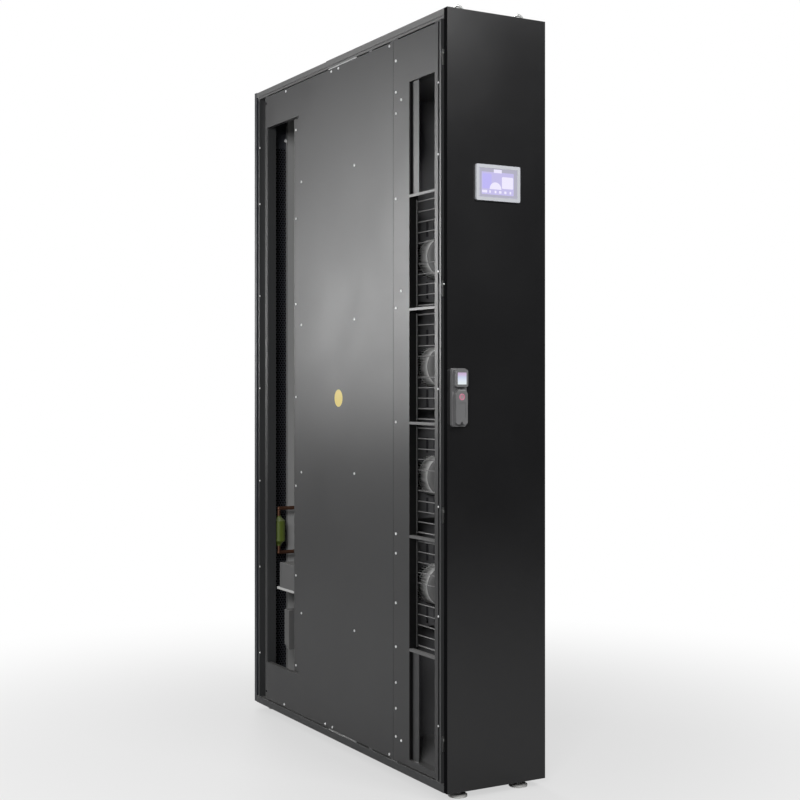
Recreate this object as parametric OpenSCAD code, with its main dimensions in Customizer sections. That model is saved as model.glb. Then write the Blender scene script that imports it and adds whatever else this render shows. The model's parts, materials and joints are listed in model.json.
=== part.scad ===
// In row cooling unit: a 300 mm wide cabinet that stands between server racks.
// Warm air enters through the rear side windows and the perforated rear door, passes the
// finned coil and leaves through the front side outlets, driven by four plug fans.
// X is the width, -Y the front, +Z up; the origin is on the floor under the cabinet's middle.

/* [Cabinet] */
// Width of the cabinet
unit_w = 300; // [290:5:340]
// Depth from the front door's face to the rear door's face
unit_d = 1200; // [1190:10:1300]
// Height of the roof above the floor
unit_h = 2000; // [1990:10:2100]
// Free height under the base
floor_gap = 21; // [19:1:28]
// Height of the base's side rails
base_h = 21; // [19:1:26]
// Height of the roof's side rails
roof_h = 15; // [12:1:20]
// Height of the recessed step under the roof's rails
roof_step_h = 7; // [4:1:10]
// Thickness of the roof's and the base's sheet
pan_t = 3; // [2:0.5:4]
// Thickness of the removable cover on the front part of the roof
roof_cover_t = 2; // [1:0.5:3]
// Length of that cover
roof_cover_l = 664; // [500:10:700]

/* [Posts] */
// Thickness of the folded post sheet
post_t = 2; // [1.5:0.25:2.5]
// Depth of a post, from the outer side inwards
post_in = 32; // [28:1:38]
// Width of the thin outer lip of a post
post_lip = 7; // [6:1:9]
// Depth of the seal groove beside the lip
groove_in = 20; // [12:1:24]
// Width of the groove in the front posts
groove_w = 10; // [8:1:12]
// Width of the seal groove in the rear posts
rear_groove_w = 42; // [36:1:46]
// Width of the flange that carries a side panel
seat_w = 17; // [14:1:20]

/* [Side panels] */
// How far the panels lie behind the cabinet's side plane
panel_recess = 1.8; // [1.6:0.1:3]
// Thickness of the panel sheet
panel_t = 1.5; // [1:0.25:2]
// Gap between a panel's upper and lower edges and the rails
panel_gap = 4; // [2:1:6]
// Place of the seam between the outlet panel and the main panel
seam_d = 280; // [274:2:290]
// Distance from the main panel's rear end to the rear door's face
panel_end_r = 82; // [78:1:86]
// Distance from the rear window to the rear door's face
window_r = 92; // [88:1:96]
// Length of the rear window along the depth
window_l = 236; // [222:2:246]
// Lower edge of the rear window
window_low = 164; // [150:2:180]
// Distance from the rear window up to the unit's top
window_top_gap = 127; // [120:1:150]
// Depth of the folded rim round an opening
rim_in = 14; // [10:1:18]

/* [Air outlets] */
// Rear edge of the outlet
outlet_rear_d = 194; // [188:1:200]
// Lower edge of the outlet
outlet_low = 63; // [60:1:70]
// Distance from the outlet up to the unit's top
outlet_top_gap = 152; // [140:1:160]
// Height of the lowest crossbar
bar_low = 353; // [345:1:360]
// Height of one fan section
fan_pitch = 298.5; // [290:0.5:300]
// Height of a crossbar's face
bar_h = 7; // [5:1:10]
// Depth of a crossbar
bar_in = 12; // [8:1:15]
// Diameter of the guard's cross wires
wire_d = 3; // [2:0.5:3.5]
// Diameter of the guard's edge rods
rod_d = 4; // [3.5:0.5:5]
// Number of wire steps in a guard
wire_steps = 10; // [8:1:12]
// How far the guard's wires lie behind the cabinet's side plane
guard_in = 24; // [22:1:26]

/* [Fans] */
// Front face of a motor, behind the door's face
motor_front_d = 255; // [245:1:258]
// Length of a motor in front of its plate
motor_l = 75; // [65:1:80]
// Diameter of a motor
motor_d = 108; // [90:2:112]
// Length of the finned ring at the motor's foot
motor_fin_l = 18; // [12:1:22]
// Number of cooling fins round a motor
motor_fins = 40; // [24:4:44]
// Side length of the square motor plate
fan_plate_w = 236; // [228:2:240]
// Circle of the four screws that hold a motor
motor_screw_pcd = 142; // [130:2:160]
// Diameter of an impeller
impeller_d = 208; // [190:2:212]
// Length of an impeller
impeller_l = 62; // [50:1:66]
// Number of blades
blades = 7; // [5:1:9]
// Inner diameter of the inlet ring
inlet_d = 150; // [130:2:156]

/* [Coil] */
// Front of the coil, behind the door's face
coil_front_d = 540; // [520:5:560]
// Thickness of the coil in the air's direction
coil_l = 110; // [80:5:120]
// Lower edge of the coil
coil_low = 340; // [330:5:360]
// Height of the coil
coil_h = 1240; // [1200:10:1260]
// Number of fin plates that the coil's faces show
coil_fins = 60; // [40:5:70]
// Diameter of the coil's tubes
tube_d = 10; // [8:1:12]

/* [Refrigerant parts] */
// Diameter of the compressor's shell
compressor_d = 128; // [110:2:140]
// Height of the compressor's shell
compressor_h = 250; // [200:10:260]
// Diameter of the filter drier
drier_d = 42; // [36:1:46]
// Length of the filter drier
drier_l = 96; // [80:2:110]
// Diameter of the suction pipe and its stub
suction_d = 22; // [18:1:25]
// Diameter of the liquid pipe and its stub
liquid_d = 12; // [10:1:16]
// Outer diameter of the condensate stub
drain_d = 20; // [16:1:24]

/* [Doors] */
// Thickness of a door at its edge
door_t = 16; // [14:1:18]
// Gap between a closed door and the posts
door_gap = 15; // [14:1:17]
// Height of a door's lower edge above the floor
door_low = 22; // [20:1:26]
// Thickness of the door sheet
door_sheet = 1.5; // [1.2:0.1:2]
// Width of the rubber seal behind a door
seal_w = 9; // [6:0.5:10]
// Width of the frame round the rear door's perforated field
rear_frame_w = 22; // [18:1:28]
// Diameter of a hinge pin
hinge_pin_d = 5; // [4:0.5:5]
// Distance from a hinge pin to the door's side
hinge_side = 7; // [7:0.5:8]
// Length of one hinge knuckle
knuckle_l = 26; // [20:1:32]

/* [Touch screen] */
// Width of the screen's frame
screen_w = 134; // [110:2:150]
// Height of the screen's frame
screen_h = 92; // [80:2:110]
// Height of the screen's middle above the floor
screen_z = 1566; // [1400:2:1650]
// How far the frame stands out of the door
screen_out = 6; // [4:0.5:8]
// Width of the frame's rim
screen_rim = 9; // [6:1:12]

/* [Lock] */
// Width of the lock's base
lock_w = 44; // [40:1:48]
// Height of the lock's base
lock_h = 147; // [144:1:156]
// Height of the lock's lower end above the floor
lock_low = 945; // [920:5:980]
// Distance from the lock to the door's left side
lock_side = 8; // [6:1:10]
// Thickness of the lock's base
lock_base_t = 8; // [7:0.5:9]
// How far the lock stands out of the door
lock_out = 22; // [21:0.5:24]
// Width of the lever
lever_w = 34; // [30:1:36]
// Height of the turning axis above the lock's lower end
lock_axis_h = 75; // [72:1:77]
// Diameter of the spindle
spindle_d = 16; // [14:1:18]
// Diameter of the round button in the lever
button_d = 17; // [14:1:18]
// Travel of the latch bar for a quarter turn
latch_travel = 18; // [12:1:20]

/* [Feet] */
// Distance from a foot's axis to the cabinet's side
foot_side = 57; // [52:1:64]
// Distance from a foot's axis to the door's face
foot_d = 42; // [40:1:48]
// Diameter of a foot's disc
foot_disc = 49; // [44:1:50]
// Thickness of a foot's disc
foot_h = 8; // [6:1:9]
// Diameter of a foot's stud
stud_d = 12; // [10:1:12]
// Diameter of the lifting eye's rod
eye_rod = 5; // [4:0.5:6]
// Width of a lifting eye
eye_w = 46; // [40:1:50]
// Height of a lifting eye above the sheet that it stands on
eye_h = 14; // [12:1:16]

/* [Hidden] */
$fn = 48;

// Running fit of a shaft in its bore, on the radius
fit = 0.05;
// Free gap between pieces that move past each other
air = 0.3;
// Upper edges of the rear window and of the outlet
window_high = unit_h - window_top_gap;
outlet_high = unit_h - outlet_top_gap;
// Distance from a door's face to the base's and the roof's end
rail_d = door_t + air;

// Number of fan sections, one node for each motor and impeller
fan_count = 4;

half_w = unit_w / 2;
half_d = unit_d / 2;
base_top = floor_gap + base_h;
roof_top = unit_h - roof_cover_t;
roof_rail_low = roof_top - roof_h;
roof_low = roof_rail_low - roof_step_h;
post_d = door_t + door_gap;
post_l = roof_low - base_top;

// Planes of the side panels, measured from the cabinet's middle plane
panel_x = half_w - panel_recess;
panel_in_x = panel_x - panel_t;
panel_low = base_top + panel_gap;
panel_high = roof_low - panel_gap;
seat_d = post_d + post_lip + groove_w;
outlet_front_d = seat_d + seat_w;

// Place along the depth: behind the front door's face, or before the rear door's face
function yd(d) = d - half_d;
function yr(r) = half_d - r;

// Middle of a fan section and lower edge of a crossbar
function bar_z(i) = bar_low + i * fan_pitch;
function fan_z(i) = bar_low + (i + 0.5) * fan_pitch;

// Turns its children over only when asked to
module flip(axis, on) {
    if (on)
        mirror(axis)
            children();
    else
        children();
}

// Box between two corners
module block(a, b) {
    translate(a)
        cube(b - a);
}

// Flat outline of a sheet that is folded at right angles along a path
module folded(path, t) {
    for (i = [0:len(path) - 2]) {
        a = path[i];
        b = path[i + 1];
        translate([min(a.x, b.x) - t / 2, min(a.y, b.y) - t / 2])
            square([abs(a.x - b.x) + t, abs(a.y - b.y) + t]);
    }
}

// Rectangle with round corners, about its middle
module rounded(w, h, r) {
    square([w - 2 * r, h], center = true);
    square([w, h - 2 * r], center = true);
    for (x = [-1, 1], z = [-1, 1])
        translate([x * (w / 2 - r), z * (h / 2 - r)])
            circle(r);
}

// Pipe along a path, with a brazed ball joint in each bend
module pipe(path, d) {
    for (i = [0:len(path) - 2]) {
        v = path[i + 1] - path[i];
        translate(path[i])
            rotate([0, acos(v.z / norm(v)), atan2(v.y, v.x)])
                cylinder(h = norm(v), d = d);
    }
    for (i = [1:1:len(path) - 2])
        translate(path[i])
            sphere(d = d + 2);
}

// ---------- Frame ----------

foot_boss_d = stud_d + 12;
header_h = 26;
header_t = 2;

// Tapped holes for the feet, in all four corners
module at_feet() {
    for (x = [-1, 1], y = [-1, 1])
        translate([x * (half_w - foot_side), y * (half_d - foot_d), 0])
            children();
}

// Upright strip between two posts that a door's seal presses on
module header_strips(z) {
    x = half_w - post_in;
    for (y = [-1, 1])
        flip([0, 1, 0], y > 0)
            block([-x, yd(post_d), z], [x, yd(post_d + header_t), z + header_h]);
}

// Corners cut out of the base and the roof, in which the doors' hinged edges swing
module hinge_corners() {
    for (rear = [false, true])
        at_door(rear)
            block([hinge_x, yd(0), 0], [half_w + 1, yd(post_d - air), unit_h + 1]);
}

module base_pan() {
    color([0.25, 0.26, 0.27])
        difference() {
            union() {
                difference() {
                    block([-half_w, yd(rail_d), floor_gap], [half_w, yr(rail_d), base_top]);
                    block([-half_w + pan_t, yd(rail_d + pan_t), floor_gap - 1],
                          [half_w - pan_t, yr(rail_d + pan_t), base_top - pan_t]);
                }
                at_feet()
                    translate([0, 0, floor_gap])
                        cylinder(h = base_h - pan_t / 2, d = foot_boss_d);
                header_strips(base_top);
                translate([drain_x, yr(drain_r), floor_gap - drain_out])
                    cylinder(h = base_h + drain_out, d = drain_d);
            }
            hinge_corners();
            at_feet()
                cylinder(h = unit_h / 4, d = stud_d + 2 * fit);
            translate([drain_x, yr(drain_r), 0])
                cylinder(h = unit_h / 4, d = drain_d - 4);
        }
}
drain_x = 60;
drain_r = 210;
drain_out = 13;

// Section of a post: outer lip, seal groove, seat of the side panel
function post_path(groove) =
    let (h = post_t / 2, seat = panel_recess + panel_t + h, far = post_lip + groove)
    [[post_in - h, h], [h, h], [h, post_lip - h], [groove_in, post_lip - h], [groove_in, far + h],
     [seat, far + h], [seat, far + seat_w - h], [post_in - h, far + seat_w - h]];

module post(sx, sy, groove) {
    color([0.33, 0.34, 0.35])
        difference() {
            translate([sx * half_w, sy * (half_d - post_d), base_top])
                flip([1, 0, 0], sx > 0)
                    flip([0, 1, 0], sy > 0)
                        linear_extrude(post_l)
                            folded(post_path(groove), post_t);
            if (sy > 0)
                row_holes(sx);
        }
}

// Holes through a panel and its rear post, where neighbouring racks are bolted on
row_hole_d = 9;
rear_seat_r = post_d + post_lip + rear_groove_w + seat_w;
row_hole_r = rear_seat_r - seat_w / 2;
row_hole_low = 69;
row_hole_top = 48;
module row_holes(sx) {
    for (z = [row_hole_low, unit_h - row_hole_top])
        translate([sx * (half_w - 10), yr(row_hole_r), z])
            rotate([0, 90, 0])
                cylinder(h = 40, d = row_hole_d, center = true);
}

module front_post_left() { post(-1, -1, groove_w); }
module front_post_right() { post(1, -1, groove_w); }
module rear_post_left() { post(-1, 1, rear_groove_w); }
module rear_post_right() { post(1, 1, rear_groove_w); }

stub_out = 13;
stub_x = 62;
stub_r = 130;
gas_r = 210;
cable_x = -70;
cable_r = 170;
gland_d = 40;
gland_bore = 21;

module roof() {
    color([0.4, 0.41, 0.41])
        difference() {
            union() {
                difference() {
                    block([-half_w, yd(rail_d), roof_rail_low], [half_w, yr(rail_d), roof_top]);
                    block([-half_w + pan_t, yd(rail_d + pan_t), roof_rail_low - 1],
                          [half_w - pan_t, yr(rail_d + pan_t), roof_top - pan_t]);
                }
                difference() {
                    block([-half_w + pan_t, yd(rail_d + pan_t), roof_low],
                          [half_w - pan_t, yr(rail_d + pan_t), roof_rail_low + pan_t]);
                    block([-half_w + post_in, yd(post_d), roof_low - 1],
                          [half_w - post_in, yr(post_d), roof_top - pan_t]);
                }
                header_strips(roof_low - header_h);
                translate([cable_x, yr(cable_r), roof_top - pan_t])
                    cylinder(h = pan_t + stub_out, d = gland_d, $fn = 6);
            }
            hinge_corners();
            translate([cable_x, yr(cable_r), 0])
                cylinder(h = unit_h + stub_out + 1, d = gland_bore);
            translate([stub_x, yr(stub_r), 0])
                cylinder(h = unit_h + 1, d = liquid_d + 2 * fit);
            translate([stub_x, yr(gas_r), 0])
                cylinder(h = unit_h + 1, d = suction_d + 2 * fit);
        }
}

module roof_cover() {
    color([0.45, 0.46, 0.46])
        difference() {
            block([-half_w, yd(rail_d), roof_top], [half_w, yd(door_t + roof_cover_l), unit_h]);
            hinge_corners();
        }
}

// Low bail of bent rod on two round pads
module lifting_eye() {
    r = (eye_w * eye_w / 4 + eye_h * eye_h) / (2 * eye_h) - eye_rod / 2;
    translate([0, 0, eye_h - r - eye_rod / 2])
        intersection() {
            rotate([90, 0, 0])
                rotate_extrude($fn = 64)
                    translate([r, 0])
                        circle(d = eye_rod, $fn = 24);
            translate([0, 0, r + eye_rod / 2 - eye_h / 2])
                cube([eye_w + 8, eye_rod * 2, eye_h], center = true);
        }
    for (x = [-1, 1])
        translate([x * (eye_w / 2 - eye_rod / 2), 0, 0])
            cylinder(h = 2.5, d = eye_rod + 6);
}

module lifting_eyes() {
    color([0.45, 0.45, 0.45])
        for (x = [-1, 1], y = [-1, 1])
            translate([x * (half_w - foot_side), y * (half_d - foot_d), y < 0 ? unit_h : roof_top])
                lifting_eye();
}

// ---------- Side panels ----------

seam_gap = 1;
seam_post_w = 44;
seam_post_in = 15;

// Channels behind the seam; both panels are screwed to them
module seam_posts() {
    color([0.3, 0.31, 0.32])
        for (sx = [-1, 1])
            flip([1, 0, 0], sx < 0)
                translate([panel_in_x, yd(seam_d) - seam_post_w / 2, base_top])
                    linear_extrude(post_l)
                        folded([[-seam_post_in, 1], [-1, 1], [-1, seam_post_w - 1],
                                [-seam_post_in, seam_post_w - 1]], 2);
}

// Rim folded inwards round an opening of a panel, from d0 to d1 and z0 to z1
module rim(d0, d1, z0, z1, in) {
    difference() {
        block([panel_x - in, yd(d0 - panel_t), z0 - panel_t], [panel_x, yd(d1 + panel_t), z1 + panel_t]);
        block([panel_x - in - 1, yd(d0), z0], [panel_x + 1, yd(d1), z1]);
    }
}

// Depth of the rim that carries the guards' rear rods
jamb_in = guard_in + rod_d - panel_recess;

module outlet_panel(side) {
    color([0.42, 0.43, 0.43])
        flip([1, 0, 0], side < 0) {
            difference() {
                block([panel_in_x, yd(seat_d), panel_low],
                      [panel_x, yd(seam_d) - seam_gap / 2, panel_high]);
                block([panel_in_x - 1, yd(outlet_front_d), outlet_low],
                      [panel_x + 1, yd(outlet_rear_d), outlet_high]);
            }
            intersection() {
                rim(outlet_front_d, outlet_rear_d, outlet_low, outlet_high, jamb_in);
                block([0, yd(outlet_front_d), 0], [half_w, yd(seam_d), unit_h]);
            }
        }
}

// The window reaches back over the rear post's seat, where its rim stops
window_front_r = window_r + window_l;
function window_d(r) = unit_d - r;

module side_panel(side) {
    color([0.42, 0.43, 0.43])
        flip([1, 0, 0], side < 0) {
            difference() {
                block([panel_in_x, yd(seam_d) + seam_gap / 2, panel_low],
                      [panel_x, yr(panel_end_r), panel_high]);
                block([panel_in_x - 1, yr(window_front_r), window_low],
                      [panel_x + 1, yr(window_r), window_high]);
                row_holes(1);
            }
            intersection() {
                rim(window_d(window_front_r), window_d(window_r), window_low, window_high, rim_in);
                block([0, yd(seam_d), 0], [half_w, yr(rear_seat_r + seam_gap / 2), unit_h]);
            }
        }
}

module outlet_panel_left() { outlet_panel(-1); }
module outlet_panel_right() { outlet_panel(1); }
module side_panel_left() { side_panel(-1); }
module side_panel_right() { side_panel(1); }

// Upright strip inside the window, on the ends of its rim
strip_w = 30;
module window_strips() {
    color([0.3, 0.3, 0.31])
        for (sx = [-1, 1])
            flip([1, 0, 0], sx < 0)
                block([panel_x - rim_in - 2, yr(window_front_r) - panel_t, window_low],
                      [panel_x - rim_in, yr(window_front_r) + strip_w, window_high]);
}

screw_d = 7;
screw_h = 1.3;

// Depth at a share of the main panel's length, and height at a share of the unit's height
function panel_share(share) = seam_d + share * (unit_d - panel_end_r - seam_d);
function up(shares) = [for (share = shares) share * unit_h];

// Places of the panel screws: [depth, height], on lines beside the seam and inside the panels
seam_screw_in = 15;
inner_screw_in = 44;
window_screw_gap = 22;
edge_screw_in = 8;
function screw_places() = concat(
    [for (z = up([0.055, 0.0925, 0.127, 0.175, 0.2335, 0.3, 0.326, 0.4755, 0.628, 0.774, 0.888, 0.9165, 0.9585]))
        [seam_d - seam_screw_in, z]],
    [for (z = up([0.0525, 0.65, 0.904])) [seam_d - inner_screw_in, z]],
    [for (z = up([0.178, 0.4, 0.618, 0.8355])) [panel_share(0.267), z]],
    [for (z = up([0.178, 0.3925, 0.6165, 0.834])) [window_d(window_front_r) - window_screw_gap, z]],
    [for (share = [0.025, 0.385, 0.439, 0.814]) [panel_share(share), panel_high - edge_screw_in]],
    [for (share = [0.025, 0.431, 0.486, 0.827]) [panel_share(share), panel_low + edge_screw_in]]
);

module panel_screws() {
    color([0.75, 0.75, 0.73])
        for (side = [-1, 1], p = screw_places())
            flip([1, 0, 0], side < 0)
                translate([panel_x, yd(p.x), p.y])
                    rotate([0, 90, 0])
                        cylinder(h = screw_h, d1 = screw_d, d2 = screw_d - 2);
}

// ---------- Air outlets ----------

// Angle bars across an outlet, one below and above every fan section
module crossbars() {
    color([0.5, 0.51, 0.51])
        for (side = [-1, 1], i = [0:fan_count])
            flip([1, 0, 0], side < 0) {
                block([panel_x - 1.5, yd(outlet_front_d), bar_z(i) - bar_h / 2],
                      [panel_x, yd(outlet_rear_d), bar_z(i) + bar_h / 2]);
                block([panel_x - bar_in, yd(outlet_front_d), bar_z(i) + bar_h / 2 - 1.5],
                      [panel_x, yd(outlet_rear_d), bar_z(i) + bar_h / 2]);
            }
}

// Z-shaped strips that narrow the outlet above and below the fan sections
strip_face = 31;
strip_recess = 10;
module blank_strips() {
    front = outlet_rear_d - 6 - strip_face;
    color([0.45, 0.46, 0.46])
        for (sx = [-1, 1], z = [[outlet_low, bar_z(0) - bar_h / 2],
                                [bar_z(fan_count) + bar_h / 2, outlet_high]])
            flip([1, 0, 0], sx < 0)
                translate([0, 0, z[0]])
                    linear_extrude(z[1] - z[0])
                        folded([[half_w - strip_recess, yd(front)],
                                [half_w - strip_recess, yd(outlet_rear_d - 6)],
                                [half_w - guard_in, yd(outlet_rear_d - 6)],
                                [half_w - guard_in, yd(outlet_rear_d - 0.75)]], 1.5);
}

// Wire guards: two upright rods, and cross wires welded on their inner sides, none at the motor
module finger_guards() {
    x = half_w - guard_in;
    front = outlet_front_d + rod_d / 2;
    rear = outlet_rear_d - rod_d / 2;
    color([0.5, 0.5, 0.5])
        for (side = [-1, 1], k = [0:fan_count - 1])
            flip([1, 0, 0], side < 0) {
                low = bar_z(k) + bar_h / 2 + 7;
                step = (bar_z(k + 1) - bar_h / 2 - 10 - low) / wire_steps;
                for (d = [front, rear])
                    translate([x, yd(d), low - 4])
                        cylinder(h = wire_steps * step + 8, d = rod_d);
                for (i = [0:wire_steps])
                    if (i * 2 != wire_steps) {
                        wire = i % wire_steps == 0 ? rod_d : wire_d;
                        translate([x - (rod_d + wire) / 2 - fit, yd(outlet_front_d), low + i * step])
                            rotate([-90, 0, 0])
                                cylinder(h = outlet_rear_d - outlet_front_d, d = wire);
                    }
            }
}

// ---------- Fans ----------

plate_d = motor_front_d + motor_l;
plate_t = 2;
impeller_gap = 4;
impeller_front_d = plate_d + plate_t + impeller_gap;
ring_gap = 6;
bulkhead_d = impeller_front_d + impeller_l + ring_gap;
bulkhead_t = 2;
strut_d = 8;
strut_in = 10;
shaft_d = 10;
ring_t = 1.5;
bell = 8;

// Floor and ceiling of the front air chamber
module plenum_plates() {
    x = half_w - post_in + 12;
    color([0.2, 0.2, 0.21])
        for (z = [outlet_low - panel_t - 1.5, outlet_high + panel_t])
            block([-x, yd(outlet_front_d), z], [x, yd(bulkhead_d), z + 1.5]);
}

// Cross wall that separates the fans' low pressure side from the front air chamber
module bulkhead() {
    color([0.28, 0.29, 0.3])
        difference() {
            union() {
                block([-panel_in_x, yd(bulkhead_d), base_top], [panel_in_x, yd(bulkhead_d + bulkhead_t), roof_low]);
                for (x = [-panel_in_x, panel_in_x - bulkhead_t])
                    block([x, yd(bulkhead_d), base_top], [x + bulkhead_t, yd(bulkhead_d + 16), roof_low]);
            }
            for (k = [0:fan_count - 1])
                translate([0, yd(bulkhead_d), fan_z(k)])
                    rotate([-90, 0, 0])
                        cylinder(h = 20, r = inlet_d / 2 + ring_t + bell + 0.5, center = true, $fn = 96);
        }
}

// Bell-mouthed rings that guide the air into the impellers
module inlet_rings() {
    r = inlet_d / 2;
    nose = ring_gap + bulkhead_t + 2;
    bend = r + ring_t + bell;
    color([0.22, 0.22, 0.23])
        for (k = [0:fan_count - 1])
            translate([0, yd(bulkhead_d + bulkhead_t), fan_z(k)])
                rotate([-90, 0, 0])
                    rotate_extrude($fn = 96)
                        polygon(concat(
                            [[r, -nose], [r + ring_t, -nose]],
                            [for (a = [180:-15:90]) [bend + bell * cos(a), bell * sin(a) - bell]],
                            [[bend + 10, 0], [bend + 10, ring_t]],
                            [for (a = [90:15:180])
                                [bend + (bell + ring_t) * cos(a), (bell + ring_t) * sin(a) - bell]]));
}

// Square plates that carry the motors, each on four struts from the bulkhead
module motor_plates() {
    w = fan_plate_w / 2;
    color([0.24, 0.24, 0.25])
        for (k = [0:fan_count - 1])
            translate([0, yd(plate_d), fan_z(k)])
                difference() {
                    union() {
                        block([-w, 0, -w], [w, plate_t, w]);
                        for (x = [-1, 1], z = [-1, 1])
                            translate([x * (w - strut_in), 0, z * (w - strut_in)])
                                rotate([-90, 0, 0])
                                    cylinder(h = bulkhead_d - plate_d, d = strut_d);
                    }
                    rotate([-90, 0, 0])
                        cylinder(h = 20, d = shaft_d + 8, center = true);
                    for (x = [-1, 1], z = [-1, 1])
                        translate([x * 12, 0, z * (w + motor_d / 2) / 2])
                            cube([8, 20, w - motor_d / 2 - 16], center = true);
                }
}

// Motor: smooth rounded cap in front, ring of cooling fins at the foot
module motor(k) {
    r = motor_d / 2;
    edge = 12;
    core = r - 6;
    cap_l = motor_l - motor_fin_l;
    color([0.72, 0.73, 0.73])
        translate([0, yd(plate_d), fan_z(k)])
            rotate([90, 0, 0])
                difference() {
                    union() {
                        rotate_extrude($fn = 96)
                            polygon(concat([[0, 0], [core, 0], [core, motor_fin_l + 2], [r, motor_fin_l + 2]],
                                [for (a = [0:15:90])
                                    [r - edge + edge * cos(a), motor_l - edge + edge * sin(a)]],
                                [[0, motor_l]]));
                        for (i = [0:motor_fins - 1])
                            rotate([0, 0, i * 360 / motor_fins])
                                translate([core - 1, -0.9, 0])
                                    cube([r - core + 1, 1.8, motor_fin_l + 3]);
                    }
                    translate([0, 0, -1])
                        cylinder(h = motor_l - 20, d = shaft_d + 2 * fit);
                }
}
module motor_1() { motor(0); }
module motor_2() { motor(1); }
module motor_3() { motor(2); }
module motor_4() { motor(3); }

// Impeller with backward-curved blades between a back plate and a sloping shroud
module impeller(k) {
    r = impeller_d / 2;
    eye = inlet_d / 2 + ring_t + 1;
    hub = 48;
    slope = 8;
    t = 2;
    color([0.16, 0.17, 0.18])
        translate([0, yd(impeller_front_d), fan_z(k)])
            rotate([-90, 0, 0]) {
                cylinder(h = t, r = r, $fn = 96);
                rotate_extrude($fn = 96)
                    polygon([[0, 0], [hub, 0], [hub, 26], [hub - 6, 32], [0, 32]]);
                translate([0, 0, -impeller_gap - plate_t - 30])
                    cylinder(h = impeller_gap + plate_t + 32, d = shaft_d);
                rotate_extrude($fn = 96)
                    polygon([[eye, impeller_l - t], [r, impeller_l - slope - t], [r, impeller_l - slope],
                             [eye + t, impeller_l], [eye, impeller_l]]);
                intersection() {
                    linear_extrude(impeller_l)
                        for (i = [0:blades - 1])
                            rotate(i * 360 / blades)
                                blade(r - 1, hub - 2, t);
                    rotate_extrude($fn = 96)
                        polygon([[hub - 3, 0], [r, 0], [r, impeller_l - slope - 1], [eye + 1, impeller_l - 1.2],
                                 [eye, impeller_l - 5], [hub - 3, impeller_l - 14]]);
                }
            }
}

// Outline of one blade: a stretch of arc from the hub to the rim
module blade(r_out, r_in, t) {
    bend = r_out * 0.8;
    intersection() {
        difference() {
            circle(r_out, $fn = 96);
            circle(r_in, $fn = 96);
        }
        translate([bend * 0.62, -bend * 0.62])
            difference() {
                circle(bend + t / 2, $fn = 96);
                circle(bend - t / 2, $fn = 96);
            }
        translate([0, 0])
            square([r_out * 2, r_out * 2]);
    }
}
module impeller_1() { impeller(0); }
module impeller_2() { impeller(1); }
module impeller_3() { impeller(2); }
module impeller_4() { impeller(3); }

// ---------- Coil and refrigerant parts ----------

coil_rear_d = coil_front_d + coil_l;
coil_half_w = half_w - 32;
coil_top = coil_low + coil_h;
pan_depth = 34;
bend_pitch = 62;
header_x = -(coil_half_w + suction_d / 2);

// Sheet walls beside, above and below the coil
module coil_ends() {
    color([0.6, 0.61, 0.61]) {
        for (sx = [-1, 1])
            flip([1, 0, 0], sx < 0) {
                block([panel_in_x - 1.5, yd(coil_front_d - 46), base_top], [panel_in_x, yd(coil_rear_d + 20), roof_low]);
                block([coil_half_w, yd(coil_front_d - 1.5), base_top], [panel_in_x, yd(coil_front_d), roof_low]);
            }
    }
}

// Block of fins; its front and rear show as narrow ribs
module coil_core() {
    rib = coil_half_w * 2 / coil_fins;
    depth = 6;
    color([0.78, 0.79, 0.8])
        translate([-coil_half_w, yd(coil_front_d), coil_low])
            linear_extrude(coil_h)
                difference() {
                    square([coil_half_w * 2, coil_l]);
                    for (i = [0:coil_fins - 1], y = [-1, coil_l - depth])
                        translate([i * rib + rib * 0.3, y])
                            square([rib * 0.6, depth + 1]);
                }
}

// Return bends of the coil's tubes on the right and the upright headers on the left
module coil_bends() {
    count = floor((coil_h - 40) / bend_pitch);
    pitch = 24;
    color([0.72, 0.45, 0.3]) {
        for (i = [0:count - 1], row = [0.3, 0.7])
            translate([coil_half_w, yd(coil_front_d + coil_l * row), coil_low + 30 + i * bend_pitch])
                intersection() {
                    rotate([90, 0, 0])
                        rotate_extrude()
                            translate([pitch / 2, 0])
                                circle(d = tube_d, $fn = 24);
                    translate([0, -pitch, -pitch])
                        cube(pitch * 2);
                }
        translate([header_x, yd(coil_front_d + coil_l / 2), coil_low + 20])
            cylinder(h = coil_h - 40, d = suction_d);
    }
}

// Tray under the coil that catches the condensate
module drain_pan() {
    x = half_w - post_in + 10;
    color([0.66, 0.67, 0.67])
        difference() {
            block([-x, yd(coil_front_d + 1), coil_low - pan_depth], [x, yd(coil_rear_d + 26), coil_low]);
            block([-x + 1.5, yd(coil_front_d + 2.5), coil_low - pan_depth + 1.5],
                  [x - 1.5, yd(coil_rear_d + 24.5), coil_low + 1]);
        }
}

compressor_r = 430;
compressor_foot = 16;

// Hermetic compressor: domed shell on a base plate with three rubber feet
module compressor() {
    r = compressor_d / 2;
    side = compressor_h - compressor_dome;
    color([0.1, 0.1, 0.11])
        translate([0, yr(compressor_r), base_top]) {
            translate([0, 0, compressor_foot])
                rotate_extrude($fn = 96)
                    polygon(concat([[0, 0], [r - 8, 0]],
                        [for (a = [-60:20:0]) [r - 16 + 16 * cos(a), 13 + 12 * sin(a)]],
                        [for (a = [0:10:90]) [r * cos(a), side + compressor_dome * sin(a)]]));
            translate([0, 0, compressor_foot - 4])
                cylinder(h = 5, r = r + 14, $fn = 6);
            for (a = [0:120:240])
                rotate(a + 30)
                    translate([r + 2, 0, 0])
                        cylinder(h = compressor_foot - 4, d = 18);
        }
}

drier_r = 69;
drier_x = -(half_w - 54);
drier_low = 531;
box_front_r = 256;
box_rear_r = 143;
box_low = 408;
box_high = 487;
box_in = 24;
box_w = 70;
shelf_t = 8;
shelf_in = 12;
shelf_over = 21;
relay_front_r = 212;
relay_l = 33;
relay_low = 220;
relay_h = 123;
relay_cut = 14;
carrier_t = 2;
carrier_foot = 30;

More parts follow.
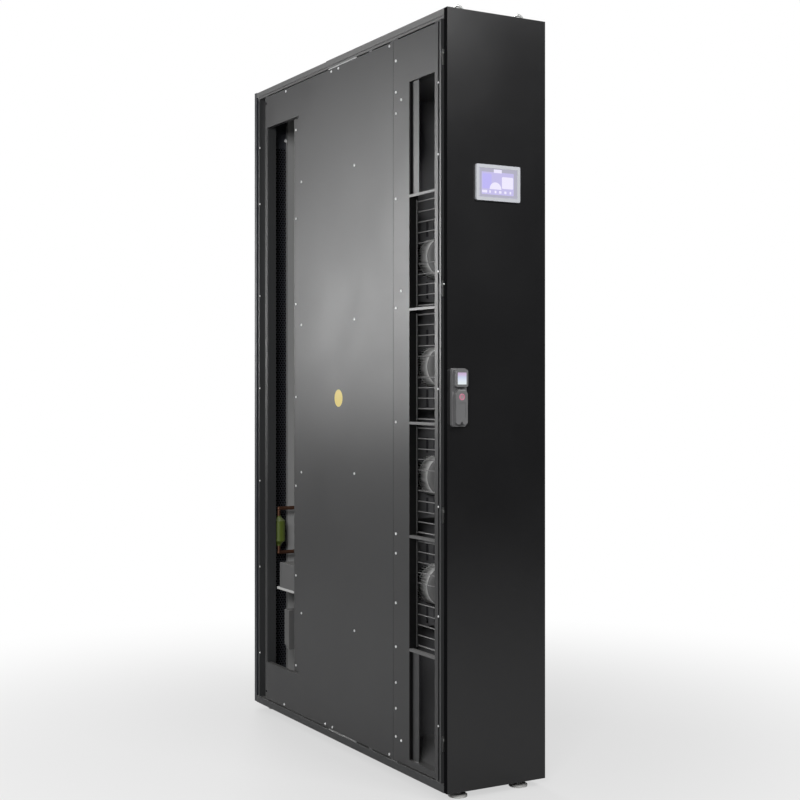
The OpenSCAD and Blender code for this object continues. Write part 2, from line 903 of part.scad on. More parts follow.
// Filter drier: green shell with tapered ends
module filter_drier() {
    r = drier_d / 2;
    tube = liquid_d / 2 + 2;
    color([0.35, 0.42, 0.15])
        translate([drier_x, yr(drier_r), drier_low])
            rotate_extrude()
                polygon([[liquid_d / 2 + fit, 0], [tube, 0], [tube, 4], [r, 16], [r, drier_l - 16],
                         [tube, drier_l - 4], [tube, drier_l], [liquid_d / 2 + fit, drier_l]]);
}

// Height of the compressor's dome above its foot, at a distance from its axis
compressor_dome = 26;
function dome_z(r) = base_top + compressor_foot + compressor_h - compressor_dome
    + compressor_dome * sqrt(1 - pow(2 * r / compressor_d, 2));

liquid_x = -40;
liquid_drop = 22;
liquid_rise = 24;
gas_rise = 70;
suction_rise = 60;

// Liquid line through the drier, suction line and hot gas line
module refrigerant_pipes() {
    liquid_low = drier_low - liquid_drop;
    liquid_high = drier_low + drier_l + liquid_rise;
    gas_z = dome_z(0) + gas_rise;
    suction_z = coil_low + suction_rise;
    shell_x = compressor_d / 4;
    shell_z = dome_z(shell_x - suction_d / 2) + air;
    color([0.72, 0.45, 0.3]) {
        for (stub = [[stub_r, liquid_d], [gas_r, suction_d]])
            translate([stub_x, yr(stub[0]), roof_top])
                cylinder(h = stub_out, d = stub[1] + 4);
        pipe([[stub_x, yr(stub_r), roof_top + 1], [stub_x, yr(stub_r), liquid_high],
              [stub_x, yr(drier_r), liquid_high], [drier_x, yr(drier_r), liquid_high],
              [drier_x, yr(drier_r), liquid_low], [liquid_x, yr(drier_r), liquid_low],
              [liquid_x, yd(coil_rear_d + air), liquid_low]], liquid_d);
        pipe([[stub_x, yr(gas_r), roof_top + 1], [stub_x, yr(gas_r), gas_z],
              [shell_x, yr(compressor_r), gas_z], [shell_x, yr(compressor_r), shell_z]], suction_d);
        pipe([[header_x, yd(coil_front_d + (coil_l + suction_d) / 2 + air), suction_z],
              [header_x, yd(coil_rear_d + 50), suction_z], [-shell_x, yr(compressor_r), suction_z],
              [-shell_x, yr(compressor_r), shell_z]], suction_d);
    }
}

// Electrical box above the fans, behind the bulkhead
control_w = 200;
control_t = 80;
control_gap = 43;
control_roof_gap = 20;
vent_pitch = 12;
module control_box() {
    side = control_w / 2;
    low = bar_z(fan_count) + control_gap;
    color([0.55, 0.56, 0.57])
        translate([0, yd(bulkhead_d + bulkhead_t), low])
            difference() {
                block([-side, 0, 0], [side, control_t, roof_low - control_roof_gap - low]);
                for (slot = [2:7])
                    block([-side - 1, control_t / 4, slot * vent_pitch],
                          [-side + 3, control_t * 3 / 4, slot * vent_pitch + vent_pitch / 3]);
            }
}

// Frequency drive on its shelf and the relay box below it, on a carrier plate beside the rear window
module drive_box() {
    x = -(half_w - box_in);
    back = x + box_w;
    color([0.6, 0.61, 0.62]) {
        block([x, yr(box_front_r), box_low], [back, yr(box_rear_r), box_high]);
        block([x, yr(box_front_r - shelf_in), box_low - shelf_t],
              [back, yr(box_rear_r - shelf_over), box_low]);
        translate([x, yr(relay_front_r), relay_low])
            rotate([90, 0, 90])
                linear_extrude(box_w)
                    polygon([[0, 0], [relay_l, relay_cut], [relay_l, relay_h], [0, relay_h]]);
        block([back, yr(box_front_r), base_top], [back + carrier_t, yr(box_rear_r), box_high]);
        block([back - carrier_foot, yr(box_front_r), base_top], [back, yr(box_rear_r), base_top + carrier_t]);
    }
}

// ---------- Doors ----------

hinge_heights = [for (share = [0.125, 0.5, 0.875]) share * unit_h];
hinge_x = half_w - hinge_side;
hinge_back = 10.5;
// The leaf stops short of the door's edge, which swings past it at the door's limit
leaf_out = 1.2;
hinge_y = yd(post_d - hinge_back);
knuckle_r = hinge_pin_d / 2 + 1.5;
door_flange = 18;
seal_out_x = half_w - door_flange - 4.5;

// Draws a front piece, or turns it over for the rear door
module at_door(rear) {
    flip([0, 1, 0], rear)
        children();
}

// Cabinet halves of all hinges: leaf, knuckle and pin
module hinge_leaves() {
    color([0.5, 0.5, 0.5])
        for (rear = [false, true], z = hinge_heights)
            at_door(rear)
                translate([hinge_x, hinge_y, z]) {
                    block([-13, hinge_back - 2, 0], [leaf_out, hinge_back, knuckle_l]);
                    block([-5, 0, 0], [leaf_out, hinge_back - 1, knuckle_l]);
                    cylinder(h = knuckle_l, r = knuckle_r);
                    cylinder(h = knuckle_l * 2 + 2, d = hinge_pin_d);
                }
}

// Door halves of the hinges, welded on the door's rear edge
module door_knuckles() {
    back = door_t - (post_d - hinge_back);
    for (z = hinge_heights)
        translate([hinge_x, hinge_y, z + knuckle_l + air]) {
            difference() {
                union() {
                    block([-13, back, 0], [5, back + 1.5, knuckle_l]);
                    block([-5, back, 0], [3, 0, knuckle_l]);
                    cylinder(h = knuckle_l, r = knuckle_r);
                }
                translate([0, 0, -1])
                    cylinder(h = knuckle_l + 2, d = hinge_pin_d + 2 * fit);
            }
        }
}

// Door: folded pan with a return flange all round
module door_pan() {
    difference() {
        block([-half_w, yd(0), door_low], [half_w, yd(door_t), unit_h]);
        block([-half_w + door_sheet, yd(door_sheet), door_low + door_sheet],
              [half_w - door_sheet, yd(door_t - door_sheet), unit_h - door_sheet]);
        block([-half_w + door_flange, yd(door_t / 2), door_low + door_flange],
              [half_w - door_flange, yd(door_t + 1), unit_h - door_flange]);
    }
}

lock_x = -half_w + lock_side + lock_w / 2;
lock_z = lock_low + lock_axis_h;
rack_r = latch_travel * 2 / PI;
bar_x = lock_x - rack_r - 10;
bar_w = 9;
bar_y = 6;
bar_t = 3;
hook_heights = [for (share = [0.071, 0.36, 0.647, 0.94]) share * unit_h];
hook_h = 54;
stem_w = 5;
stem_h = 12;

module front_door() {
    color([0.06, 0.06, 0.07])
        difference() {
            union() {
                door_pan();
                door_knuckles();
            }
            translate([lock_x, yd(0), lock_z])
                rotate([-90, 0, 0])
                    cylinder(h = door_t, d = spindle_d + 1, center = true);
            block([-screen_w / 2 + screen_rim, yd(-1), screen_z - screen_h / 2 + screen_rim],
                  [screen_w / 2 - screen_rim, yd(door_sheet + 1), screen_z + screen_h / 2 - screen_rim]);
            for (z = hook_heights)
                block([bar_x + bar_w / 2 - stem_w / 2 - air, yd(door_t / 2), z - stem_h / 2 - latch_travel - 1],
                      [bar_x + bar_w / 2 + stem_w / 2 + air, yd(door_t + 1), z + stem_h / 2 + 1]);
        }
}

screen_body = 10;
bar_slot_over = 60;

// Insulating board inside the front door
module door_board() {
    color([0.1, 0.1, 0.1])
        difference() {
            block([-half_w + door_sheet, yd(door_sheet), door_low + door_sheet],
                  [half_w - door_sheet, yd(door_t - door_sheet), unit_h - door_sheet]);
            block([bar_x - 2, yd(bar_y - 1), hook_heights[0] - bar_slot_over],
                  [bar_x + bar_w + 3, yd(door_t), hook_heights[3] + bar_slot_over]);
            translate([lock_x, yd(bar_y - 1), lock_z])
                rotate([-90, 0, 0])
                    cylinder(h = door_t, r = rack_r + 4);
            translate([lock_x, yd(0), lock_z])
                rotate([-90, 0, 0])
                    cylinder(h = door_t, d = spindle_d + 1, center = true);
            block([-screen_w / 2 + screen_rim, yd(0), screen_z - screen_h / 2 + screen_rim],
                  [screen_w / 2 - screen_rim, yd(screen_body), screen_z + screen_h / 2 - screen_rim]);
        }
}

// Rubber ring between a door and the posts
module seal_ring(front_d) {
    x = seal_out_x;
    low = base_top + header_h - seal_w - 2;
    high = roof_low - header_h + seal_w + 2;
    difference() {
        block([-x, yd(front_d), low], [x, yd(post_d - air), high]);
        block([-x + seal_w, yd(front_d - 1), low + seal_w], [x - seal_w, yd(post_d), high - seal_w]);
    }
}

module door_seal() {
    color([0.05, 0.05, 0.05])
        seal_ring(door_t - door_sheet);
}

// ---------- Touch screen ----------

module screen() {
    inner_w = screen_w - 2 * screen_rim;
    inner_h = screen_h - 2 * screen_rim;
    color([0.75, 0.76, 0.78])
        translate([0, yd(0), screen_z])
            rotate([90, 0, 0])
                difference() {
                    union() {
                        linear_extrude(screen_out)
                            rounded(screen_w, screen_h, 4);
                        translate([-inner_w / 2, -inner_h / 2, -screen_body])
                            cube([inner_w, inner_h, screen_body]);
                    }
                    translate([0, 0, screen_out - 3])
                        linear_extrude(4)
                            rounded(inner_w, inner_h, 2);
                }
}

module screen_glass() {
    color([0.6, 0.6, 0.75])
        translate([0, yd(0), screen_z])
            rotate([90, 0, 0])
                translate([0, 0, screen_out - 3])
                    linear_extrude(2)
                        rounded(screen_w - 2 * screen_rim - 0.4, screen_h - 2 * screen_rim - 0.4, 1.8);
}

// ---------- Lock ----------

lever_t = lock_out - lock_base_t - 2 * air;
pivot_y = -(lock_base_t + air + lever_t / 2);
pivot_z = 14;
pivot_pin_d = 4;
lever_low = 69;
display_low = 25;
tongue_w = 10;
head_d = 28;
head_t = 2.3;
teeth = 18;
tooth_pitch = 4 * latch_travel / teeth;

module at_lock(rear) {
    at_door(rear)
        translate([lock_x, yd(0), lock_z])
            children();
}

// Outline in the door's plane, given a thickness towards the front
module face_plate(front, back) {
    translate([0, back, 0])
        rotate([90, 0, 0])
            linear_extrude(back - front)
                children();
}

module lock_base(rear) {
    at_lock(rear)
        difference() {
            union() {
                face_plate(-lock_base_t, 0)
                    translate([0, lock_h / 2 - lock_axis_h])
                        rounded(lock_w, lock_h, 7);
                if (!rear)
                    face_plate(-lock_out, 0)
                        translate([0, (display_low + lock_h - lock_axis_h - 3) / 2])
                            rounded(lock_w - 8, lock_h - lock_axis_h - 3 - display_low, 5);
            }
            rotate([90, 0, 0])
                cylinder(h = 60, d = spindle_d + 2 * fit, center = true);
        }
}

module front_lock() {
    color([0.45, 0.45, 0.46])
        lock_base(false);
}
module rear_lock() {
    color([0.2, 0.2, 0.21])
        lock_base(true);
}

// Pinion outline: round body with short teeth that suit the rack
module pinion_outline() {
    circle(r = rack_r - 1.3);
    for (i = [0:teeth - 1])
        rotate(i * 360 / teeth + 180)
            polygon([[rack_r - 2, -1.15], [rack_r + 0.9, -0.45], [rack_r + 0.9, 0.45], [rack_r - 2, 1.15]]);
}

// Spindle with its head, the tongue and pin that carry the lever, and the pinion
module front_spindle() {
    color([0.6, 0.6, 0.62])
        at_lock(false) {
            rotate([90, 0, 0])
                translate([0, 0, -bar_y - bar_t])
                    cylinder(h = bar_y + bar_t + lock_base_t + air, d = spindle_d);
            rotate([90, 0, 0])
                translate([0, 0, lock_base_t + air])
                    cylinder(h = head_t, d = head_d);
            face_plate(bar_y, bar_y + bar_t)
                pinion_outline();
            block([-tongue_w / 2, pivot_y, pivot_z - 4.5],
                  [tongue_w / 2, -lock_base_t - air, pivot_z]);
            translate([-tongue_w / 2, pivot_y, pivot_z])
                rotate([0, 90, 0])
                    cylinder(h = tongue_w, r = 4.5);
            translate([-13, pivot_y, pivot_z])
                rotate([0, 90, 0])
                    cylinder(h = 26, d = pivot_pin_d);
        }
}

// Front outline of the lever: round top, slim grip with a notch for the finger
module lever_outline() {
    r = lever_w / 2;
    top = pivot_z + lever_t / 2;
    difference() {
        union() {
            translate([0, top - r])
                circle(r, $fn = 64);
            translate([-r, -lever_low + 6])
                square([lever_w, lever_low - 6 + top - r]);
            translate([-r + 6, -lever_low])
                square([lever_w - 12, 12]);
            for (x = [-1, 1])
                translate([x * (r - 6), -lever_low + 6])
                    circle(6);
        }
        polygon([[-6, -lever_low - 1], [6, -lever_low - 1], [0, -lever_low + 8]]);
    }
}

// Lever that tilts out on the spindle's pin; its rear is hollowed for the spindle's head
module front_lever() {
    half = lever_t / 2;
    slot = tongue_w / 2 + air;
    color([0.5, 0.5, 0.51])
        at_lock(false)
            difference() {
                intersection() {
                    face_plate(pivot_y - half, pivot_y + half)
                        lever_outline();
                    union() {
                        block([-lever_w, pivot_y - half, -lever_low], [lever_w, pivot_y + half, pivot_z]);
                        translate([-lever_w, pivot_y, pivot_z])
                            rotate([0, 90, 0])
                                cylinder(h = lever_w * 2, r = half);
                    }
                }
                block([-head_d / 2 - 1, pivot_y + half - head_t - 2 * air, -head_d / 2 - 2],
                      [head_d / 2 + 1, pivot_y + lever_t, lever_t + pivot_z]);
                block([-slot, pivot_y - 5, pivot_z - 5], [slot, pivot_y + lever_t, pivot_z + lever_t]);
                translate([-14, pivot_y, pivot_z])
                    rotate([0, 90, 0])
                        cylinder(h = 28, d = pivot_pin_d + 2 * fit);
                rotate([90, 0, 0])
                    translate([0, 0, lock_out - 9])
                        cylinder(h = 20, d = button_d + 2 * fit);
                block([-lever_w / 2 + 5, pivot_y - half - 1, -lever_low + 16],
                      [lever_w / 2 - 5, pivot_y - half + 1.5, -button_d / 2 - 6]);
            }
}

button_out = 0;
button_travel = 1.2;

module lock_button() {
    color([0.8, 0.35, 0.4])
        at_lock(false)
            rotate([90, 0, 0])
                translate([0, 0, lock_out - 9 + button_travel + air])
                    cylinder(h = 9 - button_travel - 2 * air + button_out, d = button_d);
}

// Upright bar behind the front door with a rack for the pinion and four hook plates
module latch_bar() {
    low = hook_heights[0] - 30;
    high = hook_heights[3] + 30;
    edge = lock_x - rack_r;
    color([0.55, 0.55, 0.56]) {
        difference() {
            union() {
                block([bar_x, yd(bar_y), low], [bar_x + bar_w, yd(bar_y + bar_t), high]);
                block([bar_x, yd(bar_y), lock_z - 30], [edge + 0.8, yd(bar_y + bar_t), lock_z + 50]);
            }
            for (i = [-8:12])
                translate([edge, yd(bar_y + bar_t / 2), lock_z + i * tooth_pitch])
                    rotate([90, 0, 0])
                        linear_extrude(bar_t + 2, center = true)
                            polygon([[-1.6, -0.9], [1, -1.75], [1, 1.75], [-1.6, 0.9]]);
        }
        for (z = hook_heights) {
            x = bar_x + bar_w / 2;
            block([x - stem_w / 2, yd(bar_y), z - stem_h / 2], [x + stem_w / 2, yd(door_t + 2), z + stem_h / 2]);
            block([x - 9, yd(door_t + 1), z - hook_h / 2], [x + 9, yd(door_t + 4), z + hook_h / 2]);
        }
    }
}

// Catches on the front post, one above each hook plate
module keepers() {
    x = bar_x + bar_w / 2;
    color([0.55, 0.55, 0.56])
        for (z = hook_heights) {
            block([x - 9, yd(post_d - 2), z - 20], [x + 9, yd(post_d), z + 20]);
            block([x - 9, yd(door_t + 6), z + 8], [x + 9, yd(post_d - 2), z + 14]);
        }
}

// ---------- Rear door ----------

stiffener_x = 5;
stiffener_w = 33;
stiffener_end = 40;
module rear_door() {
    color([0.1, 0.1, 0.11])
        at_door(true) {
            difference() {
                union() {
                    door_pan();
                    door_knuckles();
                }
                translate([lock_x, yd(0), lock_z])
                    rotate([-90, 0, 0])
                        cylinder(h = door_t * 2, d = spindle_d + 1, center = true);
            }
            for (x = [stiffener_x, -stiffener_x - stiffener_w])
                block([x, yd(door_sheet), door_low + stiffener_end],
                      [x + stiffener_w, yd(door_t - 2), unit_h - stiffener_end]);
        }
}

module rear_seal() {
    color([0.05, 0.05, 0.05])
        at_door(true)
            seal_ring(door_t);
}

// Plain wing handle of the rear door with its spindle
module rear_lever() {
    color([0.25, 0.25, 0.26])
        at_lock(true) {
            face_plate(-lock_out, -lock_base_t - air)
                lever_outline();
            rotate([90, 0, 0])
                translate([0, 0, -bar_y - bar_t])
                    cylinder(h = bar_y + bar_t + lock_base_t + 1, d = spindle_d);
            face_plate(bar_y, bar_y + bar_t)
                rounded(spindle_d + 6, spindle_d, 4);
        }
}

// ---------- Feet ----------

// Screw foot: disc, hexagon and stud
module foot(x, y) {
    color([0.8, 0.8, 0.8])
        translate([x * (half_w - foot_side), y * (half_d - foot_d), 0]) {
            rotate_extrude()
                polygon([[0, 0], [foot_disc / 2 - 1, 0], [foot_disc / 2, 1], [foot_disc / 2, foot_h - 3],
                         [foot_disc / 2 - 4, foot_h], [0, foot_h]]);
            cylinder(h = foot_h + 5, d = stud_d + 7, $fn = 6);
            cylinder(h = base_top + 10, d = stud_d);
        }
}
module foot_front_left() { foot(-1, -1); }
module foot_front_right() { foot(1, -1); }
module foot_rear_left() { foot(-1, 1); }
module foot_rear_right() { foot(1, 1); }

base_pan();
front_post_left();
front_post_right();
rear_post_left();
rear_post_right();
roof();
roof_cover();
lifting_eyes();
seam_posts();
outlet_panel_left();
outlet_panel_right();
side_panel_left();
side_panel_right();
panel_screws();
crossbars();
blank_strips();
finger_guards();
window_strips();
plenum_plates();
bulkhead();
inlet_rings();
motor_plates();
motor_1();
motor_2();
motor_3();
motor_4();
impeller_1();
impeller_2();
impeller_3();
impeller_4();
coil_ends();
coil_core();
coil_bends();
drain_pan();
compressor();
refrigerant_pipes();
filter_drier();
control_box();
drive_box();
hinge_leaves();
keepers();
front_door();
door_board();
door_seal();
screen();
screen_glass();
front_lock();
front_spindle();
front_lever();
lock_button();
latch_bar();
rear_door();
rear_seal();
rear_lock();
rear_lever();
foot_front_left();
foot_front_right();
foot_rear_left();
foot_rear_right();
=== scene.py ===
import json
import math

import bpy
import bmesh
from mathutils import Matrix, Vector

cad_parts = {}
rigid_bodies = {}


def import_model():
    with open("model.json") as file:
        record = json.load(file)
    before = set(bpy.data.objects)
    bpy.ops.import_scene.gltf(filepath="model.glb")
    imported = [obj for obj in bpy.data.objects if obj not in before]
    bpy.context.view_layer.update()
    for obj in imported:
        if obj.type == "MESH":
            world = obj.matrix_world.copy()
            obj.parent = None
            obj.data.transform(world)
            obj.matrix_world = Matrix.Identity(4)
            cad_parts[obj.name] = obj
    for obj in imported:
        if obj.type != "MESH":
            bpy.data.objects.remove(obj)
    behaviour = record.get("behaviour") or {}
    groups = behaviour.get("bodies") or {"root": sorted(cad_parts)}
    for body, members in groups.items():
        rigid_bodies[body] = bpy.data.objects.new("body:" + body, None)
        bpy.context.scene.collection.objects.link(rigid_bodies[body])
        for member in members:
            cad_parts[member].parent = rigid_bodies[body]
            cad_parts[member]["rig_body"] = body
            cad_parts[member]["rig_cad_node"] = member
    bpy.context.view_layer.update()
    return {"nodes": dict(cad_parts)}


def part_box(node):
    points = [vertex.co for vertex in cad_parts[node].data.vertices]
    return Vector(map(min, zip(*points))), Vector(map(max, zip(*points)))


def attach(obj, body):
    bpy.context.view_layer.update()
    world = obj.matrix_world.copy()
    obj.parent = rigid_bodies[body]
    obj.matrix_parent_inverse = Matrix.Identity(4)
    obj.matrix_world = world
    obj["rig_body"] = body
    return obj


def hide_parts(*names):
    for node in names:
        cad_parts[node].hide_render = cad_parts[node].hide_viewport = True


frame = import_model()

# ---- Studio ----
# A pale floor, a pale room and five soft boxes round the unit.
# The camera stands in front and to the left, level, a little above half the unit's height.
scene = bpy.context.scene
scene.view_settings.view_transform = "Standard"
door_low, door_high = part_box("front_door")


def deselect():
    """Leaves no object selected, so that an operator acts on new pieces only."""
    bpy.ops.object.select_all(action="DESELECT")


deselect()
camera_place = (-1.9716, door_low.y - 2.9674, 1.0486)
camera_turn = math.radians(-29.59)
bpy.ops.object.camera_add(location=camera_place, rotation=(math.radians(90), 0, camera_turn))
camera = bpy.context.object
camera.name = "camera"
camera.data.sensor_width = 36
camera.data.lens = 62.42
camera.data.shift_y = -0.0181
scene.camera = camera

room = bpy.data.worlds.new("pale_room")
scene.world = room
room.use_nodes = True
room_nodes, room_links = room.node_tree.nodes, room.node_tree.links
room_seen = room_nodes.new("ShaderNodeLightPath")
room_glow = room_nodes.new("ShaderNodeMapRange")
room_glow.inputs["To Min"].default_value = 0.08
room_glow.inputs["To Max"].default_value = 1.0
room_nodes["Background"].inputs["Color"].default_value = (1.0, 1.0, 1.0, 1.0)
room_links.new(room_seen.outputs["Is Camera Ray"], room_glow.inputs["Value"])
room_links.new(room_glow.outputs["Result"], room_nodes["Background"].inputs["Strength"])

floor_size = 30
floor_clear, floor_faded = 0.5, 2.4
deselect()
bpy.ops.mesh.primitive_plane_add(size=floor_size, location=(0, 0, 0))
floor = bpy.context.object
floor.name = "studio_floor"
floor_paint = bpy.data.materials.new("pale_floor")
floor_paint.use_nodes = True
floor_nodes, floor_links = floor_paint.node_tree.nodes, floor_paint.node_tree.links
floor_shader = floor_nodes["Principled BSDF"]
floor_shader.inputs["Base Color"].default_value = (0.36, 0.36, 0.36, 1)
floor_shader.inputs["Roughness"].default_value = 0.6
floor_place = floor_nodes.new("ShaderNodeTexCoord")
floor_reach = floor_nodes.new("ShaderNodeVectorMath")
floor_reach.operation = "LENGTH"
floor_fade = floor_nodes.new("ShaderNodeMapRange")
floor_fade.interpolation_type = "SMOOTHSTEP"
floor_fade.inputs["From Min"].default_value = floor_clear
floor_fade.inputs["From Max"].default_value = floor_faded
floor_fade.inputs["To Min"].default_value = 0.6
floor_seen = floor_nodes.new("ShaderNodeLightPath")
floor_share = floor_nodes.new("ShaderNodeMath")
floor_share.operation = "MULTIPLY"
floor_white = floor_nodes.new("ShaderNodeEmission")
floor_mix = floor_nodes.new("ShaderNodeMixShader")
floor_links.new(floor_place.outputs["Object"], floor_reach.inputs[0])
floor_links.new(floor_reach.outputs["Value"], floor_fade.inputs["Value"])
floor_links.new(floor_fade.outputs["Result"], floor_share.inputs[0])
floor_links.new(floor_seen.outputs["Is Camera Ray"], floor_share.inputs[1])
floor_links.new(floor_share.outputs[0], floor_mix.inputs["Fac"])
floor_links.new(floor_shader.outputs["BSDF"], floor_mix.inputs[1])
floor_links.new(floor_white.outputs["Emission"], floor_mix.inputs[2])
floor_links.new(floor_mix.outputs["Shader"], floor_nodes["Material Output"].inputs["Surface"])
floor.data.materials.append(floor_paint)


def soft_box(name, place, target, width, height, power, tilt=0):
    """Adds a soft box at place, aimed at target and tilted about its aim."""
    aim = (Vector(target) - Vector(place)).to_track_quat("-Z", "Y").to_euler()
    aim.rotate_axis("Z", math.radians(tilt))
    bpy.ops.object.light_add(type="AREA", location=place, rotation=aim)
    lamp = bpy.context.object
    lamp.name = name
    lamp.data.shape = "RECTANGLE"
    lamp.data.size = width
    lamp.data.size_y = height
    lamp.data.energy = power


soft_box("panel_light", (-3.3, 4.3, 2.0), (-0.15, -0.2, 1.2),
         width=0.26, height=2.3, power=84, tilt=-32)
soft_box("fill_light", (-2.7, -3.5, 2.1), (-0.1, -0.3, 1.1), width=1.1, height=1.1, power=120)
soft_box("front_light", (0.9, -3.8, 3.75), (0.0, -0.6, 1.6), width=1.5, height=0.7, power=130)
soft_box("rear_light", (0.9, 4.2, 2.6), (0.0, 0.6, 1.0), width=1.6, height=1.6, power=60)
soft_box("top_light", (-0.2, 0.0, 4.6), (0.0, 0.0, 0.0), width=3.0, height=3.0, power=90)

# ---- Base pan and screw feet ----
# A folded steel pan, powder coated black, with a welded boss for a foot in each corner.
# The feet are light nylon discs on zinc plated M12 studs; the whole foot is given the nylon finish.


def coat_group():
    """Powder coat: a fine orange peel, slow changes of tone and a little dust on what faces up."""
    group = bpy.data.node_groups.new("powder_coat", "ShaderNodeTree")
    face = group.interface
    face.new_socket("Paint", in_out="INPUT", socket_type="NodeSocketColor")
    for name, value in (("Gloss", 0.4), ("Drift", 0.06), ("Dust", 0.1), ("Peel", 700.0)):
        face.new_socket(name, in_out="INPUT", socket_type="NodeSocketFloat").default_value = value
    face.new_socket("Color", in_out="OUTPUT", socket_type="NodeSocketColor")
    face.new_socket("Roughness", in_out="OUTPUT", socket_type="NodeSocketFloat")
    face.new_socket("Height", in_out="OUTPUT", socket_type="NodeSocketFloat")
    nodes, links = group.nodes, group.links
    into = nodes.new("NodeGroupInput")
    out = nodes.new("NodeGroupOutput")
    place = nodes.new("ShaderNodeTexCoord")

    slow = nodes.new("ShaderNodeTexNoise")
    slow.inputs["Scale"].default_value = 3.2
    slow.inputs["Detail"].default_value = 5
    fine = nodes.new("ShaderNodeTexNoise")
    fine.inputs["Detail"].default_value = 2
    links.new(place.outputs["Object"], slow.inputs["Vector"])
    links.new(place.outputs["Object"], fine.inputs["Vector"])
    links.new(into.outputs["Peel"], fine.inputs["Scale"])

    tone = nodes.new("ShaderNodeMath")
    tone.operation = "SUBTRACT"
    tone.inputs[1].default_value = 0.5
    links.new(slow.outputs["Fac"], tone.inputs[0])
    drift = nodes.new("ShaderNodeMath")
    drift.operation = "MULTIPLY_ADD"
    drift.inputs[2].default_value = 1.0
    links.new(tone.outputs[0], drift.inputs[0])
    links.new(into.outputs["Drift"], drift.inputs[1])
    toned = nodes.new("ShaderNodeVectorMath")
    toned.operation = "SCALE"
    links.new(into.outputs["Paint"], toned.inputs[0])
    links.new(drift.outputs[0], toned.inputs["Scale"])

    facing = nodes.new("ShaderNodeNewGeometry")
    split = nodes.new("ShaderNodeSeparateXYZ")
    links.new(facing.outputs["Normal"], split.inputs[0])
    upward = nodes.new("ShaderNodeMapRange")
    upward.inputs["From Min"].default_value = 0.5
    upward.inputs["From Max"].default_value = 1.0
    links.new(split.outputs["Z"], upward.inputs["Value"])
    links.new(into.outputs["Dust"], upward.inputs["To Max"])
    dusty = nodes.new("ShaderNodeMix")
    dusty.data_type = "RGBA"
    dusty.inputs["B"].default_value = (0.62, 0.61, 0.59, 1)
    links.new(upward.outputs["Result"], dusty.inputs["Factor"])
    links.new(toned.outputs[0], dusty.inputs["A"])
    links.new(dusty.outputs["Result"], out.inputs["Color"])

    rough = nodes.new("ShaderNodeMath")
    rough.operation = "MULTIPLY_ADD"
    rough.inputs[1].default_value = 0.18
    links.new(tone.outputs[0], rough.inputs[0])
    links.new(into.outputs["Gloss"], rough.inputs[2])
    links.new(rough.outputs[0], out.inputs["Roughness"])
    links.new(fine.outputs["Fac"], out.inputs["Height"])
    return group


powder_coat = coat_group()


def coated(name, paint, gloss=0.4, drift=0.1, dust=0.15, peel=700.0, peel_depth=0.00012, sheen=0.5):
    """A powder coated or enamelled sheet metal."""
    material = bpy.data.materials.new(name)
    material.use_nodes = True
    nodes, links = material.node_tree.nodes, material.node_tree.links
    shader = nodes["Principled BSDF"]
    skin = nodes.new("ShaderNodeGroup")
    skin.node_tree = powder_coat
    skin.inputs["Paint"].default_value = (*paint, 1)
    for socket, value in (("Gloss", gloss), ("Drift", drift), ("Dust", dust), ("Peel", peel)):
        skin.inputs[socket].default_value = value
    bump = nodes.new("ShaderNodeBump")
    bump.inputs["Strength"].default_value = 0.35
    bump.inputs["Distance"].default_value = peel_depth
    links.new(skin.outputs["Color"], shader.inputs["Base Color"])
    links.new(skin.outputs["Roughness"], shader.inputs["Roughness"])
    links.new(skin.outputs["Height"], bump.inputs["Height"])
    links.new(bump.outputs["Normal"], shader.inputs["Normal"])
    shader.inputs["Specular IOR Level"].default_value = sheen
    material.diffuse_color = (*paint, 1)
    return material


def finish(material, *nodes):
    """Gives CAD nodes their real finish."""
    for node in nodes:
        slots = frame["nodes"][node].data.materials
        if len(slots) == 0:
            slots.append(material)
        for index in range(len(slots)):
            slots[index] = material


frame_coat = coated("frame_coat", (0.035, 0.036, 0.037), gloss=0.35)


def seated():
    """Puts the active piece's place and turn into its mesh; its object then sits at the origin."""
    bpy.ops.object.transform_apply(location=True, rotation=True, scale=True)
    return bpy.context.object


def bevelled(piece, width):
    """Rounds the sharp edges of the active piece."""
    bpy.ops.object.modifier_add(type="BEVEL")
    rounding = piece.modifiers["Bevel"]
    rounding.width = width
    rounding.segments = 2
    rounding.limit_method = "ANGLE"
    rounding.angle_limit = math.radians(40)
    bpy.ops.object.modifier_apply(modifier="Bevel")


def softened(node, material, width=0.0006):
    """Rounds a CAD node's sharp edges on a copy, left active, which takes the node's place."""
    weld_reach = 0.00001
    solid = frame["nodes"][node]
    deselect()
    solid.select_set(True)
    bpy.context.view_layer.objects.active = solid
    bpy.ops.object.duplicate()
    soft = bpy.context.object
    del soft["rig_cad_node"]
    bpy.ops.object.parent_clear(type="CLEAR_KEEP_TRANSFORM")
    seated()
    bpy.ops.object.mode_set(mode="EDIT")
    bpy.ops.mesh.select_all(action="SELECT")
    bpy.ops.mesh.remove_doubles(threshold=weld_reach)
    bpy.ops.mesh.dissolve_limited(angle_limit=math.radians(0.5))
    bpy.ops.object.mode_set(mode="OBJECT")
    if width:
        bevelled(soft, width)
    soft.name = node + "_dressed"
    soft.data.materials.clear()
    soft.data.materials.append(material)
    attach(soft, solid["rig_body"])
    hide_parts(node)


softened("base_pan", frame_coat)
nylon_white = coated("nylon_white", (0.62, 0.62, 0.6), gloss=0.45, drift=0.05, dust=0.1, peel=1500)
finish(nylon_white, "foot_front_left", "foot_front_right", "foot_rear_left", "foot_rear_right")

# ---- Posts, roof and lifting eyes ----
# Roll formed corner posts, a folded roof pan with a cover plate on its front part,
# and four bent rod eyes for lifting the unit off its pallet.
finish(frame_coat, "front_post_left", "front_post_right", "rear_post_left", "rear_post_right",
       "seam_posts")
rail_coat = coated("rail_coat", (0.13, 0.13, 0.13), gloss=0.35, dust=0.2)
finish(rail_coat, "roof")
softened("roof_cover", rail_coat)


